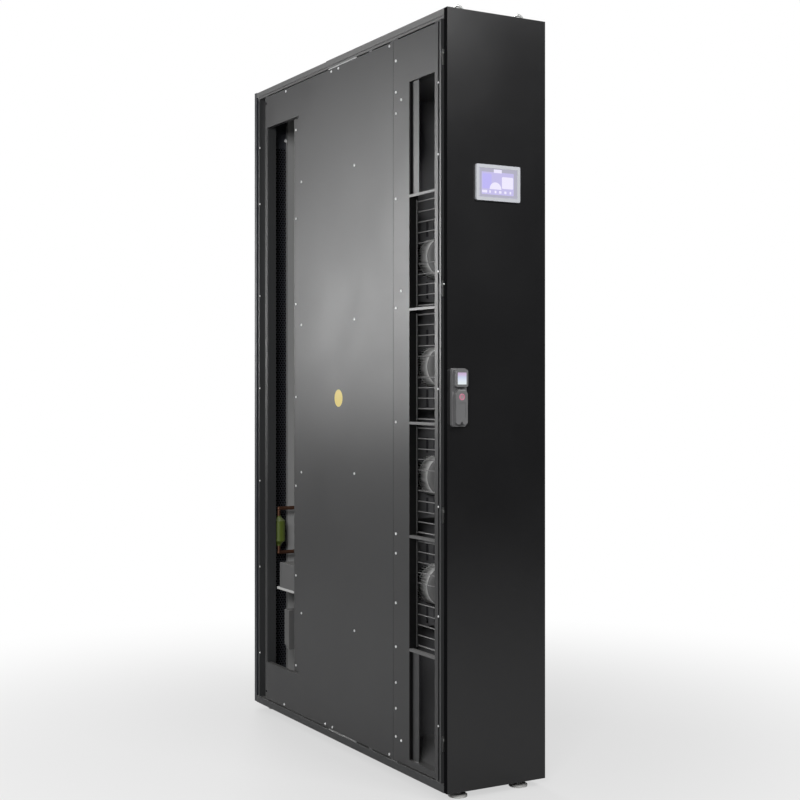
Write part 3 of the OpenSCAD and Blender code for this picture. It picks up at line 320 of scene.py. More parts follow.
def grain_group():
    """Drawn or plated metal: fine streaks along one way and a faint cloudiness."""
    group = bpy.data.node_groups.new("metal_grain", "ShaderNodeTree")
    face = group.interface
    face.new_socket("Metal", in_out="INPUT", socket_type="NodeSocketColor")
    stretch = face.new_socket("Stretch", in_out="INPUT", socket_type="NodeSocketVector")
    stretch.default_value = (400, 400, 12)
    for name, value in (("Gloss", 0.35), ("Cloud", 0.15)):
        face.new_socket(name, in_out="INPUT", socket_type="NodeSocketFloat").default_value = value
    face.new_socket("Color", in_out="OUTPUT", socket_type="NodeSocketColor")
    face.new_socket("Roughness", in_out="OUTPUT", socket_type="NodeSocketFloat")
    face.new_socket("Height", in_out="OUTPUT", socket_type="NodeSocketFloat")
    nodes, links = group.nodes, group.links
    into = nodes.new("NodeGroupInput")
    out = nodes.new("NodeGroupOutput")
    place = nodes.new("ShaderNodeTexCoord")
    drawn = nodes.new("ShaderNodeVectorMath")
    drawn.operation = "MULTIPLY"
    links.new(place.outputs["Object"], drawn.inputs[0])
    links.new(into.outputs["Stretch"], drawn.inputs[1])
    streak = nodes.new("ShaderNodeTexNoise")
    streak.inputs["Scale"].default_value = 1.0
    streak.inputs["Detail"].default_value = 3
    links.new(drawn.outputs[0], streak.inputs["Vector"])
    cloud = nodes.new("ShaderNodeTexNoise")
    cloud.inputs["Scale"].default_value = 60
    links.new(place.outputs["Object"], cloud.inputs["Vector"])
    cloud_tone = nodes.new("ShaderNodeMapRange")
    cloud_tone.inputs["To Min"].default_value = 1.0
    low_tone = nodes.new("ShaderNodeMath")
    low_tone.operation = "SUBTRACT"
    low_tone.inputs[0].default_value = 1.0
    links.new(into.outputs["Cloud"], low_tone.inputs[1])
    links.new(low_tone.outputs[0], cloud_tone.inputs["To Max"])
    links.new(cloud.outputs["Fac"], cloud_tone.inputs["Value"])
    toned = nodes.new("ShaderNodeVectorMath")
    toned.operation = "SCALE"
    links.new(into.outputs["Metal"], toned.inputs[0])
    links.new(cloud_tone.outputs["Result"], toned.inputs["Scale"])
    links.new(toned.outputs[0], out.inputs["Color"])
    rough = nodes.new("ShaderNodeMath")
    rough.operation = "MULTIPLY_ADD"
    rough.inputs[1].default_value = 0.2
    links.new(streak.outputs["Fac"], rough.inputs[0])
    links.new(into.outputs["Gloss"], rough.inputs[2])
    links.new(rough.outputs[0], out.inputs["Roughness"])
    links.new(streak.outputs["Fac"], out.inputs["Height"])
    return group


metal_grain = grain_group()


def bare_metal(name, metal, gloss=0.3, cloud=0.2, stretch=(400, 400, 12), metallic=1.0):
    """A plated, drawn or cast metal without paint."""
    grain_depth = 0.00006
    material = bpy.data.materials.new(name)
    material.use_nodes = True
    nodes, links = material.node_tree.nodes, material.node_tree.links
    shader = nodes["Principled BSDF"]
    skin = nodes.new("ShaderNodeGroup")
    skin.node_tree = metal_grain
    skin.inputs["Metal"].default_value = (*metal, 1)
    skin.inputs["Stretch"].default_value = stretch
    skin.inputs["Gloss"].default_value = gloss
    skin.inputs["Cloud"].default_value = cloud
    bump = nodes.new("ShaderNodeBump")
    bump.inputs["Strength"].default_value = 0.3
    bump.inputs["Distance"].default_value = grain_depth
    links.new(skin.outputs["Color"], shader.inputs["Base Color"])
    links.new(skin.outputs["Roughness"], shader.inputs["Roughness"])
    links.new(skin.outputs["Height"], bump.inputs["Height"])
    links.new(bump.outputs["Normal"], shader.inputs["Normal"])
    shader.inputs["Metallic"].default_value = metallic
    material.diffuse_color = (*metal, 1)
    return material


zinc = bare_metal("zinc_plate", (0.62, 0.63, 0.62), gloss=0.28, cloud=0.25)
eye_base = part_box("lifting_eyes")[0].z
eye_stretch = 1.55
softened("lifting_eyes", zinc, width=0)
bpy.ops.object.mode_set(mode="EDIT")
bpy.ops.mesh.select_all(action="SELECT")
bpy.ops.transform.resize(value=(1, 1, eye_stretch), center_override=(0, 0, eye_base))
bpy.ops.object.mode_set(mode="OBJECT")

# ---- Side panels ----
# Folded sheet steel in satin dark grey, with rims turned inwards round the air outlet and the rear
# window. The rims are the same sheet; those that face the front are darkened with painted shade.
panel_coat = coated("panel_coat", (0.034, 0.034, 0.035), gloss=0.36, drift=0.08, dust=0.1)
softened("side_panel_left", panel_coat, width=0.0004)
softened("side_panel_right", panel_coat, width=0.0004)
rim_coat = coated("rim_coat", (0.034, 0.034, 0.035), gloss=0.36, drift=0.08, dust=0.1)
rim_nodes, rim_links = rim_coat.node_tree.nodes, rim_coat.node_tree.links
rim_paint = next(node for node in rim_nodes if node.type == "GROUP")
# Faces that point to the front get their colour scaled down here: painted shade.
rim_facing = rim_nodes.new("ShaderNodeNewGeometry")
rim_split = rim_nodes.new("ShaderNodeSeparateXYZ")
rim_shade = rim_nodes.new("ShaderNodeMapRange")
rim_shade.inputs["From Min"].default_value = -0.3
rim_shade.inputs["From Max"].default_value = -0.9
rim_shade.inputs["To Min"].default_value = 1.0
rim_shade.inputs["To Max"].default_value = 0.12
rim_tone = rim_nodes.new("ShaderNodeVectorMath")
rim_tone.operation = "SCALE"
rim_links.new(rim_facing.outputs["Normal"], rim_split.inputs[0])
rim_links.new(rim_split.outputs["Y"], rim_shade.inputs["Value"])
rim_links.new(rim_shade.outputs["Result"], rim_tone.inputs["Scale"])
rim_links.new(rim_paint.outputs["Color"], rim_tone.inputs[0])
rim_links.new(rim_tone.outputs[0], rim_nodes["Principled BSDF"].inputs["Base Color"])
softened("outlet_panel_left", rim_coat, width=0.0004)
softened("outlet_panel_right", rim_coat, width=0.0004)

# ---- Screws ----
# Zinc plated steel screws with pan heads and a driver recess, cold headed and rolled.
# They hold the side panels to the frame and stand in the gaps beside the doors.
screw_zinc = bare_metal("screw_zinc", (0.9, 0.9, 0.9), gloss=0.3, cloud=0.1,
                        stretch=(300, 300, 300), metallic=0.35)


def face_nearest(mesh, way):
    """Selects in edit mode the one large face that reaches furthest along way."""
    area_weight = 100
    best = max(mesh.faces,
               key=lambda face: face.calc_center_median().dot(way) + face.calc_area() * area_weight)
    for face in mesh.faces:
        face.select = face is best


def screw_head(place, side, radius=0.0036, height=0.0014, axis="X"):
    """One pan head, facing along the X or Y axis, towards side -1 or +1."""
    dome_inset, dome_rise = radius * 0.2, height * 0.35
    recess_inset, recess_wall, recess_depth = radius * 0.35, radius * 0.05, height * 0.8
    deselect()
    turn = {"X": (0, side * math.radians(90), 0), "Y": (-side * math.radians(90), 0, 0)}[axis]
    bpy.ops.mesh.primitive_cylinder_add(vertices=16, radius=radius, depth=height)
    head = bpy.context.object
    bpy.ops.object.mode_set(mode="EDIT")
    shape = bmesh.from_edit_mesh(head.data)
    face_nearest(shape, Vector((0, 0, 1)))
    bmesh.update_edit_mesh(head.data)
    bpy.ops.mesh.select_mode(type="FACE")
    bpy.ops.mesh.inset(thickness=dome_inset, depth=0)
    bpy.ops.transform.translate(value=(0, 0, dome_rise))
    bpy.ops.mesh.inset(thickness=recess_inset, depth=0)
    bpy.ops.mesh.inset(thickness=recess_wall, depth=-recess_depth)
    bpy.ops.object.mode_set(mode="OBJECT")
    head.rotation_euler = turn
    head.location = place
    seated()
    return head


def joined(pieces, name, material, body):
    """Joins pieces into one named piece that rides on a body."""
    deselect()
    for piece in pieces:
        piece.select_set(True)
    bpy.context.view_layer.objects.active = pieces[0]
    if len(pieces) > 1:
        bpy.ops.object.join()
    piece = bpy.context.object
    piece.name = name
    piece.data.materials.clear()
    piece.data.materials.append(material)
    seated()
    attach(piece, body)
    return piece


def solid_centres(node):
    """Middle of each small solid in a node, found by how near its points lie."""
    solid_reach = 0.012
    groups = []
    for vertex in frame["nodes"][node].data.vertices:
        for group in groups:
            if (group[0] - vertex.co).length < solid_reach:
                group.append(vertex.co.copy())
                break
        else:
            groups.append([vertex.co.copy()])
    return [sum(group, Vector()) / len(group) for group in groups]


panel_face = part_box("side_panel_left")[0].x
panel_lift = 0.0006
heads = []
for centre in solid_centres("panel_screws"):
    side = math.copysign(1, centre.x)
    heads.append(screw_head((side * (abs(panel_face) + panel_lift), centre.y, centre.z), side))
panel_heads = joined(heads, "panel_screw_heads", screw_zinc, "cabinet")
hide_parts("panel_screws")

post_face = abs(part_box("front_post_left")[0].x)
gap_heights = [0.185, 0.463, 0.741, 1.040, 1.338, 1.635, 1.817]
gap_lift, gap_inset = 0.0004, 0.0185
gap_heads = []
for side in (-1, 1):
    for lip in (-1, 1):
        for height in gap_heights:
            place = (side * (post_face + gap_lift), lip * (abs(door_high.y) - gap_inset), height)
            gap_heads.append(screw_head(place, side, radius=0.0028, height=0.001))
joined(gap_heads, "post_screw_heads", screw_zinc, "cabinet")

# ---- Outlet bars, strips and wire guards ----
# Angle bars and blank strips folded from the panels' own sheet and screwed across the openings,
# and finger guards of coated steel wire welded to two rods.
bar_coat = coated("bar_coat", (0.11, 0.11, 0.11), gloss=0.35, dust=0.2)
finish(bar_coat, "crossbars")
finish(panel_coat, "blank_strips")
wire_coat = coated("wire_coat", (0.17, 0.17, 0.17), gloss=0.4, peel=1500)


def sums(material, operation, first, second=0.0):
    """One scalar step of a pattern in a material."""
    step = material.node_tree.nodes.new("ShaderNodeMath")
    step.operation = operation
    for socket, value in ((0, first), (1, second)):
        if isinstance(value, (int, float)):
            step.inputs[socket].default_value = value
        else:
            material.node_tree.links.new(value, step.inputs[socket])
    return step.outputs[0]


def tinted(material, share, colour):
    """Lays a second colour over a material where the share is one."""
    nodes, links = material.node_tree.nodes, material.node_tree.links
    shader = nodes["Principled BSDF"]
    layer = nodes.new("ShaderNodeMix")
    layer.data_type = "RGBA"
    layer.inputs["B"].default_value = (*colour, 1)
    links.new(share, layer.inputs["Factor"])
    links.new(shader.inputs["Base Color"].links[0].from_socket, layer.inputs["A"])
    links.new(layer.outputs["Result"], shader.inputs["Base Color"])


def split_place(material):
    """The three object coordinates in a material."""
    nodes, links = material.node_tree.nodes, material.node_tree.links
    split = nodes.new("ShaderNodeSeparateXYZ")
    links.new(nodes.new("ShaderNodeTexCoord").outputs["Object"], split.inputs[0])
    return split.outputs["X"], split.outputs["Y"], split.outputs["Z"]


guard_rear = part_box("finger_guards")[1].y
rod_depth = 0.0055
wire_y = split_place(wire_coat)[1]
# The two rods at the back of each guard, deep in the opening, are painted near black: painted
# shade.
rod_shade_part = sums(wire_coat, "GREATER_THAN", wire_y, guard_rear - rod_depth)
tinted(wire_coat, rod_shade_part, (0.03, 0.03, 0.03))
finish(wire_coat, "finger_guards")

# ---- Window strips ----
# A strip of painted sheet steel stands inside the front edge of each rear window.
# Its rear edge is folded inwards, and a row of seven screws holds it.
strip_low, strip_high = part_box("window_strips")
strip_heights = [0.184, 0.462, 0.739, 1.013, 1.300, 1.564, 1.838]
strip_front = min(vertex.co.y for vertex in frame["nodes"]["window_strips"].data.vertices)
strip_wide, strip_t, strip_flange = 0.06, 0.002, 0.012
strip_middle_z = (strip_low.z + strip_high.z) / 2
strip_screw_y, strip_lift = strip_front + 0.048, 0.0004
strips = []
strip_heads = []
for side in (-1, 1):
    deselect()
    out = abs(strip_low.x)
    strip_middle = (side * (out - strip_t / 2), strip_front + strip_wide / 2, strip_middle_z)
    bpy.ops.mesh.primitive_cube_add(size=1, location=strip_middle)
    strip = bpy.context.object
    strip.scale = (strip_t, strip_wide, strip_high.z - strip_low.z)
    seated()
    bpy.ops.object.mode_set(mode="EDIT")
    shape = bmesh.from_edit_mesh(strip.data)
    for face in shape.faces:
        face.select = face.calc_center_median().y > strip_front + strip_wide - strip_t / 2
    bmesh.update_edit_mesh(strip.data)
    bpy.ops.mesh.extrude_region_move(TRANSFORM_OT_translate={"value": (0, strip_t, 0)})
    for face in bmesh.from_edit_mesh(strip.data).faces:
        middle = face.calc_center_median()
        past_edge = middle.y > strip_front + strip_wide + strip_t / 4
        face.select = past_edge and side * middle.x < out - strip_t * 3 / 4
    bpy.ops.mesh.extrude_region_move(TRANSFORM_OT_translate={"value": (-side * strip_flange, 0, 0)})
    bpy.ops.mesh.select_all(action="SELECT")
    bpy.ops.mesh.normals_make_consistent(inside=False)
    bpy.ops.object.mode_set(mode="OBJECT")
    bevelled(strip, width=0.0006)
    strips.append(strip)
    for height in strip_heights:
        strip_heads.append(screw_head((side * (out + strip_lift), strip_screw_y, height), side))
strip_piece = joined(strips, "folded_strips", panel_coat, "cabinet")
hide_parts("window_strips")
joined(strip_heads, "strip_screw_heads", screw_zinc, "cabinet")

# ---- Fans ----
# Four fans in a column: backward curved plastic impellers on external rotor motors of cast
# aluminium, whose sides are ribbed for cooling. Each is bolted to a sheet steel plate.
inner_coat = coated("inner_coat", (0.14, 0.14, 0.145), gloss=0.5, dust=0.1)
finish(inner_coat, "plenum_plates", "bulkhead", "motor_plates")
ring_zinc = bare_metal("ring_zinc", (0.5, 0.5, 0.5), gloss=0.4, cloud=0.3)
finish(ring_zinc, "inlet_rings")
cast_alu = bare_metal("cast_alu", (0.85, 0.85, 0.84), gloss=0.55, cloud=0.2,
                      stretch=(90, 90, 90), metallic=0.1)

motor_low, motor_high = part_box("motor_1")
motor_radius, motor_middle_z = (motor_high.x - motor_low.x) / 2, (motor_low.z + motor_high.z) / 2
groove_front, groove_rear = motor_high.y - 0.034, motor_high.y - 0.0225
groove_shade_margin, groove_margin, shaded_cap_depth = 0.0012, 0.001, 0.0075
motor_pitch = abs(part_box("motor_2")[0].z - motor_low.z)
motor_x, motor_y, motor_z = split_place(cast_alu)
turns = sums(cast_alu, "DIVIDE", sums(cast_alu, "SUBTRACT", motor_z, motor_middle_z), motor_pitch)
from_middle = sums(cast_alu, "FRACT", sums(cast_alu, "ADD", turns, 10.5))
from_middle = sums(cast_alu, "MULTIPLY", sums(cast_alu, "SUBTRACT", from_middle, 0.5), motor_pitch)
squares = [sums(cast_alu, "MULTIPLY", way, way) for way in (motor_x, from_middle)]
radius = sums(cast_alu, "SQRT", sums(cast_alu, "ADD", *squares))
# The floors of the sunk cooling grooves are painted near black: painted shade.
sunk = sums(cast_alu, "LESS_THAN", radius, motor_radius - groove_shade_margin)
past_front = sums(cast_alu, "GREATER_THAN", motor_y, groove_front - groove_margin)
tinted(cast_alu, sums(cast_alu, "MULTIPLY", sunk, past_front), (0.02, 0.02, 0.02))
# The motor's front cap is painted darker than the casting: painted shade.
tinted(cast_alu, sums(cast_alu, "LESS_THAN", motor_y, motor_low.y + shaded_cap_depth), (0.17, 0.17, 0.17))


def grooved(node):
    """Sinks cooling grooves into the side of a motor, in front of its ring of fins."""
    grooves, groove_depth, groove_lip = 48, 0.004, 0.0003
    side_share, side_slope = 0.99, 0.01
    low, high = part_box(node)
    middle = (low + high) / 2
    softened(node, cast_alu, width=0)
    bpy.ops.object.mode_set(mode="EDIT")
    for cut in (groove_front, groove_rear):
        bpy.ops.mesh.select_all(action="SELECT")
        bpy.ops.mesh.bisect(plane_co=(0, cut, 0), plane_no=(0, 1, 0))
    bpy.ops.mesh.select_all(action="DESELECT")
    shape = bmesh.from_edit_mesh(bpy.context.object.data)
    for face in shape.faces:
        spot = face.calc_center_median()
        out = math.hypot(spot.x - middle.x, spot.z - middle.z)
        turn = math.atan2(spot.z - middle.z, spot.x - middle.x) / (2 * math.pi)
        outer = out > side_share * motor_radius and abs(face.normal.y) < side_slope
        every_other = math.floor(turn * 2 * grooves) % 2 == 0
        face.select = outer and groove_front < spot.y < groove_rear and every_other
    bmesh.update_edit_mesh(bpy.context.object.data)
    bpy.ops.mesh.inset(thickness=groove_lip, depth=-groove_depth, use_individual=True)
    bpy.ops.object.mode_set(mode="OBJECT")


for motor_node in ("motor_1", "motor_2", "motor_3", "motor_4"):
    grooved(motor_node)
fan_plastic = coated("fan_plastic", (0.05, 0.05, 0.055), gloss=0.5, peel=1500)
finish(fan_plastic, "impeller_1", "impeller_2", "impeller_3", "impeller_4")

# ---- Cooling coil ----
# Pressed aluminium fins on expanded copper tubes, held between galvanised end plates.
# The coil stands over a folded drain pan, and brazed copper pipes lead from it.
fin_alu = bare_metal("fin_alu", (0.72, 0.73, 0.74), gloss=0.35, cloud=0.3, stretch=(900, 3, 3))
finish(fin_alu, "coil_core")
finish(ring_zinc, "coil_ends", "drain_pan")
copper = bare_metal("copper_tube", (0.2, 0.1, 0.065), gloss=0.45, cloud=0.5, stretch=(60, 60, 60))
finish(copper, "coil_bends", "refrigerant_pipes")

# ---- Compressor, filter drier and drive ----
# A welded hermetic shell in gloss black and a green enamelled steel drier, brazed into the pipes.
# The control box and the drive are folded sheet steel, coated grey, with a pale shelf on the drive.
black_enamel = coated("black_enamel", (0.012, 0.012, 0.013), gloss=0.18,
                      peel=200, peel_depth=0.0004)
finish(black_enamel, "compressor")
green_enamel = coated("green_enamel", (0.095, 0.13, 0.022), gloss=0.3)
finish(green_enamel, "filter_drier")
box_coat = coated("box_coat", (0.1, 0.1, 0.1), gloss=0.4)
softened("control_box", box_coat, width=0.001)
drive_coat = coated("drive_coat", (0.1, 0.1, 0.1), gloss=0.4)
shelf_middle, shelf_half = 0.404, 0.0042
shelf_part = sums(drive_coat, "COMPARE", split_place(drive_coat)[2], shelf_middle)
shelf_part.node.inputs[2].default_value = shelf_half
tinted(drive_coat, shelf_part, (0.55, 0.55, 0.54))
softened("drive_box", drive_coat, width=0.0008)

# ---- Hinges and keepers ----
# Pressed steel hinge leaves with pins, and hook keepers for the latch bar.
# All are zinc plated and screwed to the posts.
finish(zinc, "hinge_leaves", "keepers")

# ---- Front door ----
# A folded steel pan, powder coated satin black, that reflects less on its narrow sides.
# It is backed by an insulating board and a foam seal glued into its rim.
door_coat = coated("door_coat", (0.006, 0.006, 0.0065), gloss=0.24, drift=0.2, dust=0.05, sheen=0.7)
door_nodes, door_links = door_coat.node_tree.nodes, door_coat.node_tree.links
door_reflection = door_nodes["Principled BSDF"].inputs["Specular IOR Level"]
door_facing = door_nodes.new("ShaderNodeTexCoord")
door_split = door_nodes.new("ShaderNodeSeparateXYZ")
door_side = door_nodes.new("ShaderNodeMath")
door_side.operation = "ABSOLUTE"
door_sheen = door_nodes.new("ShaderNodeMapRange")
door_sheen.inputs["From Min"].default_value = 0.2
door_sheen.inputs["From Max"].default_value = 0.7
door_sheen.inputs["To Min"].default_value = 0.7
door_sheen.inputs["To Max"].default_value = 0.0
door_links.new(door_facing.outputs["Normal"], door_split.inputs[0])
door_links.new(door_split.outputs["X"], door_side.inputs[0])
door_links.new(door_side.outputs[0], door_sheen.inputs["Value"])
door_links.new(door_sheen.outputs["Result"], door_reflection)
softened("front_door", door_coat, width=0.0008)
board_black = coated("board_black", (0.02, 0.02, 0.02), gloss=0.7, peel=400)
finish(board_black, "door_board")
foam_rubber = coated("foam_rubber", (0.012, 0.012, 0.012), gloss=0.8, peel=900)
finish(foam_rubber, "door_seal", "rear_seal")

# ---- Touch screen ----
# A moulded silver bezel, screwed on from behind, round a lit colour display under glass.
# The display's pictures are thin plain shapes, laid on it without words.
bezel_silver = coated("bezel_silver", (0.42, 0.43, 0.46), gloss=0.3, peel=1500)
finish(bezel_silver, "screen")


def lit(name, glow):
    """A lit display colour under a fine grid of dots."""
    material = bpy.data.materials.new(name)
    material.use_nodes = True
    nodes, links = material.node_tree.nodes, material.node_tree.links
    shader = nodes["Principled BSDF"]
    place = nodes.new("ShaderNodeTexCoord")
    dots = nodes.new("ShaderNodeTexNoise")
    dots.inputs["Scale"].default_value = 900
    tone = nodes.new("ShaderNodeMapRange")
    tone.inputs["To Min"].default_value = 0.92
    tone.inputs["To Max"].default_value = 1.06
    toned = nodes.new("ShaderNodeVectorMath")
    toned.operation = "SCALE"
    toned.inputs[0].default_value = glow
    links.new(place.outputs["Object"], dots.inputs["Vector"])
    links.new(dots.outputs["Fac"], tone.inputs["Value"])
    links.new(tone.outputs["Result"], toned.inputs["Scale"])
    links.new(toned.outputs[0], shader.inputs["Emission Color"])
    shader.inputs["Base Color"].default_value = (0.02, 0.02, 0.022, 1)
    shader.inputs["Emission Strength"].default_value = 1.0
    shader.inputs["Roughness"].default_value = 0.15
    material.diffuse_color = (*glow, 1)
    return material


display_rim = lit("display_rim", (0.43, 0.42, 0.52))
finish(display_rim, "screen_glass")


def rounded_plate(centre, width, height, corner, thickness):
    """A flat plate with rounded corners that faces the front."""
    deselect()
    bpy.ops.mesh.primitive_plane_add(size=1, location=centre, rotation=(math.radians(90), 0, 0))
    plate = bpy.context.object
    plate.scale = (width, height, 1)
    seated()
    bpy.ops.object.mode_set(mode="EDIT")
    bpy.ops.mesh.select_all(action="SELECT")
    bpy.ops.mesh.bevel(affect="VERTICES", offset=corner, segments=5)
    bpy.ops.mesh.select_all(action="SELECT")
    bpy.ops.mesh.extrude_region_move(TRANSFORM_OT_translate={"value": (0, thickness, 0)})
    bpy.ops.mesh.select_all(action="SELECT")
    bpy.ops.mesh.normals_make_consistent(inside=False)
    bpy.ops.object.mode_set(mode="OBJECT")
    return plate


def half_dial(centre, radius, thickness):
    """The upper half of a round dial, cut from a disc."""
    deselect()
    bpy.ops.mesh.primitive_cylinder_add(vertices=48, radius=radius, depth=thickness,
                                        location=centre, rotation=(math.radians(90), 0, 0))
    dial = seated()
    bpy.ops.object.mode_set(mode="EDIT")
    bpy.ops.mesh.select_all(action="SELECT")
    bpy.ops.mesh.bisect(plane_co=centre, plane_no=(0, 0, -1), use_fill=True, clear_outer=True)
    bpy.ops.object.mode_set(mode="OBJECT")
    return dial


glass_low, glass_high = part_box("screen_glass")
glass_w, glass_h = glass_high.x - glass_low.x, glass_high.z - glass_low.z
picture_t = 0.00015


def on_glass(across, down, layer):
    """A place on the display, as shares of its width and height from the upper left corner."""
    return (glass_low.x + across * glass_w, glass_low.y - picture_t * (layer + 1),
            glass_high.z - down * glass_h)


def tile(across, down, wide, tall, corner, layer=1):
    """A picture on the display, placed and sized in shares of the glass."""
    return rounded_plate(on_glass(across, down, layer), wide * glass_w, tall * glass_h,
                         corner, picture_t)


display_violet = lit("display_violet", (0.5, 0.46, 0.9))
display_pale = lit("display_pale", (0.84, 0.8, 0.97))
display_mid = lit("display_mid", (0.54, 0.5, 0.8))
field = tile(0.485, 0.52, wide=0.85, tall=0.78, corner=0.002, layer=0)
joined([field], "display_field", display_mid, "front_door_leaf")
left_tile = tile(0.2, 0.45, wide=0.24, tall=0.52, corner=0.004)
joined([left_tile], "display_left_tile", display_violet, "front_door_leaf")
dial = half_dial(on_glass(0.425, 0.72, layer=1), 0.155 * glass_w, picture_t)
right_tile = tile(0.745, 0.475, wide=0.3, tall=0.41, corner=0.003)
tab = tile(0.485, 0.09, wide=0.21, tall=0.12, corner=0.001)
icons = [dial, right_tile, tab]
icon_row = ((0.138, 0.135), (0.28, 0.04), (0.425, 0.05),
            (0.55, 0.065), (0.685, 0.06), (0.82, 0.045))
for across, share in icon_row:
    icons.append(tile(across, 0.81, wide=share, tall=0.09, corner=0.0012))
joined(icons, "display_pictures", display_pale, "front_door_leaf")

# ---- Lock and latch ----
# A cast handle set with a swinging lever, a small status window, a push button with a lit ring,
# and a rack that drives the latch bar.
lock_casting = coated("lock_casting", (0.12, 0.12, 0.122), gloss=0.35)
finish(lock_casting, "front_lock", "front_lever")
finish(door_coat, "rear_lock", "rear_lever")
button_cap = coated("button_cap", (0.26, 0.19, 0.21), gloss=0.3)
finish(button_cap, "lock_button")
finish(zinc, "front_spindle", "latch_bar")

lock_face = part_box("front_lock")[0].y
window_x, window_z = -0.1200, 1.0662
window_w, window_h, window_corner, window_t = 0.0255, 0.0300, 0.0012, 0.0004
lock_window = rounded_plate((window_x, lock_face - window_t, window_z),
                            window_w, window_h, window_corner, window_t)
window_glow = bpy.data.materials.new("lock_window_glow")
window_glow.use_nodes = True
glow_nodes, glow_links = window_glow.node_tree.nodes, window_glow.node_tree.links
glow_shader = glow_nodes["Principled BSDF"]
glow_place = glow_nodes.new("ShaderNodeTexCoord")
glow_split = glow_nodes.new("ShaderNodeSeparateXYZ")
glow_height = glow_nodes.new("ShaderNodeMapRange")
glow_height.inputs["From Min"].default_value = window_z - window_h / 2
glow_height.inputs["From Max"].default_value = window_z + window_h / 2
glow_ramp = glow_nodes.new("ShaderNodeValToRGB")
glow_ramp.color_ramp.elements[0].color = (0.76, 0.82, 0.82, 1)
glow_ramp.color_ramp.elements[1].color = (0.5, 0.38, 0.56, 1)
glow_stops = ((0.35, (0.7, 0.75, 0.84, 1)), (0.6, (0.56, 0.62, 0.78, 1)),
              (0.82, (0.58, 0.46, 0.66, 1)))
for share, colour in glow_stops:
    glow_ramp.color_ramp.elements.new(share).color = colour
glow_links.new(glow_place.outputs["Object"], glow_split.inputs[0])
glow_links.new(glow_split.outputs["Z"], glow_height.inputs["Value"])
glow_links.new(glow_height.outputs["Result"], glow_ramp.inputs["Fac"])
glow_shader.inputs["Base Color"].default_value = (0.02, 0.02, 0.022, 1)
glow_links.new(glow_ramp.outputs["Color"], glow_shader.inputs["Emission Color"])
glow_shader.inputs["Emission Strength"].default_value = 1.0
glow_shader.inputs["Roughness"].default_value = 0.2
joined([lock_window], "lock_window", window_glow, "front_door_leaf")

button_low, button_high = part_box("lock_button")
ring_place = ((button_low.x + button_high.x) / 2, button_low.y, (button_low.z + button_high.z) / 2)
ring_radius, ring_half_t, ring_flattening = 0.0069, 0.0014, 0.7
deselect()
bpy.ops.mesh.primitive_torus_add(location=ring_place, rotation=(math.radians(90), 0, 0),
                                 major_radius=ring_radius, minor_radius=ring_half_t,
                                 major_segments=40, minor_segments=10)
button_ring = seated()
bpy.ops.object.mode_set(mode="EDIT")
bpy.ops.mesh.select_all(action="SELECT")
bpy.ops.transform.resize(value=(1, ring_flattening, 1), center_override=ring_place)
bpy.ops.object.mode_set(mode="OBJECT")
ring_glow = lit("ring_glow", (0.5, 0.16, 0.24))
joined([button_ring], "button_ring", ring_glow, "button")

# ---- Sticker ----
# A round sticker of yellow vinyl, glued to the left panel near the front.
# It is plain, without words or signs.
sticker_yellow = coated("sticker_yellow", (0.72, 0.55, 0.06), gloss=0.3, drift=0.1, peel=300)
sticker_radius, sticker_t = 0.025, 0.0003
sticker_y, sticker_z = door_low.y + 0.603, 1.012
deselect()
bpy.ops.mesh.primitive_cylinder_add(vertices=64, radius=sticker_radius, depth=sticker_t,
                                    location=(panel_face - sticker_t / 2, sticker_y, sticker_z),
                                    rotation=(0, math.radians(90), 0))
sticker = seated()
bevelled(sticker, width=0.0001)
joined([sticker], "sticker", sticker_yellow, "cabinet")

# ---- Rear door ----
# A folded steel pan like the front door's. The air enters through rows of six-sided holes punched
# in its skin, and two plated stiffeners run up its middle, welded to the inside.
punched = coated("punched_door", (0.03, 0.032, 0.038), gloss=0.35, drift=0.2, dust=0.05)
punched_nodes, punched_links = punched.node_tree.nodes, punched.node_tree.links
hole_pitch, hole_radius, hole_edge = 0.009, 0.0031, 0.0003
field_half, field_low, field_high = 0.094, 0.13, 1.83
stiffener_half, stiffener_rear = 0.0385, 0.5985
hole_shade = (0.001, 0.001, 0.0014)


def vectors(operation, first, second):
    """One vector step of the punched pattern."""
    step = punched_nodes.new("ShaderNodeVectorMath")
    step.operation = operation
    punched_links.new(first, step.inputs[0])
    step.inputs[1].default_value = second
    return step.outputs[0]


punched_place = punched_nodes.new("ShaderNodeTexCoord").outputs["Object"]
cell = (hole_pitch, 1.0, hole_pitch * math.sqrt(3))
rows = vectors("DIVIDE", vectors("MULTIPLY", punched_place, (1, 0, 1)), cell)
distances = []
for shift in ((0, 0, 0), (0.5, 0, 0.5)):
    inside = vectors("FRACTION", vectors("ADD", rows, shift), (0, 0, 0))
    inside = vectors("SUBTRACT", inside, (0.5, 0, 0.5))
    reach = punched_nodes.new("ShaderNodeVectorMath")
    reach.operation = "LENGTH"
    punched_links.new(vectors("MULTIPLY", inside, (cell[0], 0, cell[2])), reach.inputs[0])
    distances.append(reach.outputs["Value"])
nearest_hole = sums(punched, "MINIMUM", *distances)
open_part = punched_nodes.new("ShaderNodeMapRange")
open_part.inputs["From Min"].default_value = hole_radius + hole_edge
open_part.inputs["From Max"].default_value = hole_radius - hole_edge
punched_links.new(nearest_hole, open_part.inputs["Value"])
across, deep, high = split_place(punched)
out_x = sums(punched, "ABSOLUTE", across)
in_field = sums(punched, "LESS_THAN", out_x, field_half)
in_field = sums(punched, "MULTIPLY", in_field, sums(punched, "GREATER_THAN", high, field_low))
in_field = sums(punched, "MULTIPLY", in_field, sums(punched, "LESS_THAN", high, field_high))
stiff = sums(punched, "LESS_THAN", out_x, stiffener_half)
stiff = sums(punched, "MULTIPLY", stiff, sums(punched, "LESS_THAN", deep, stiffener_rear))
in_field = sums(punched, "MULTIPLY", in_field, sums(punched, "SUBTRACT", 1.0, stiff))
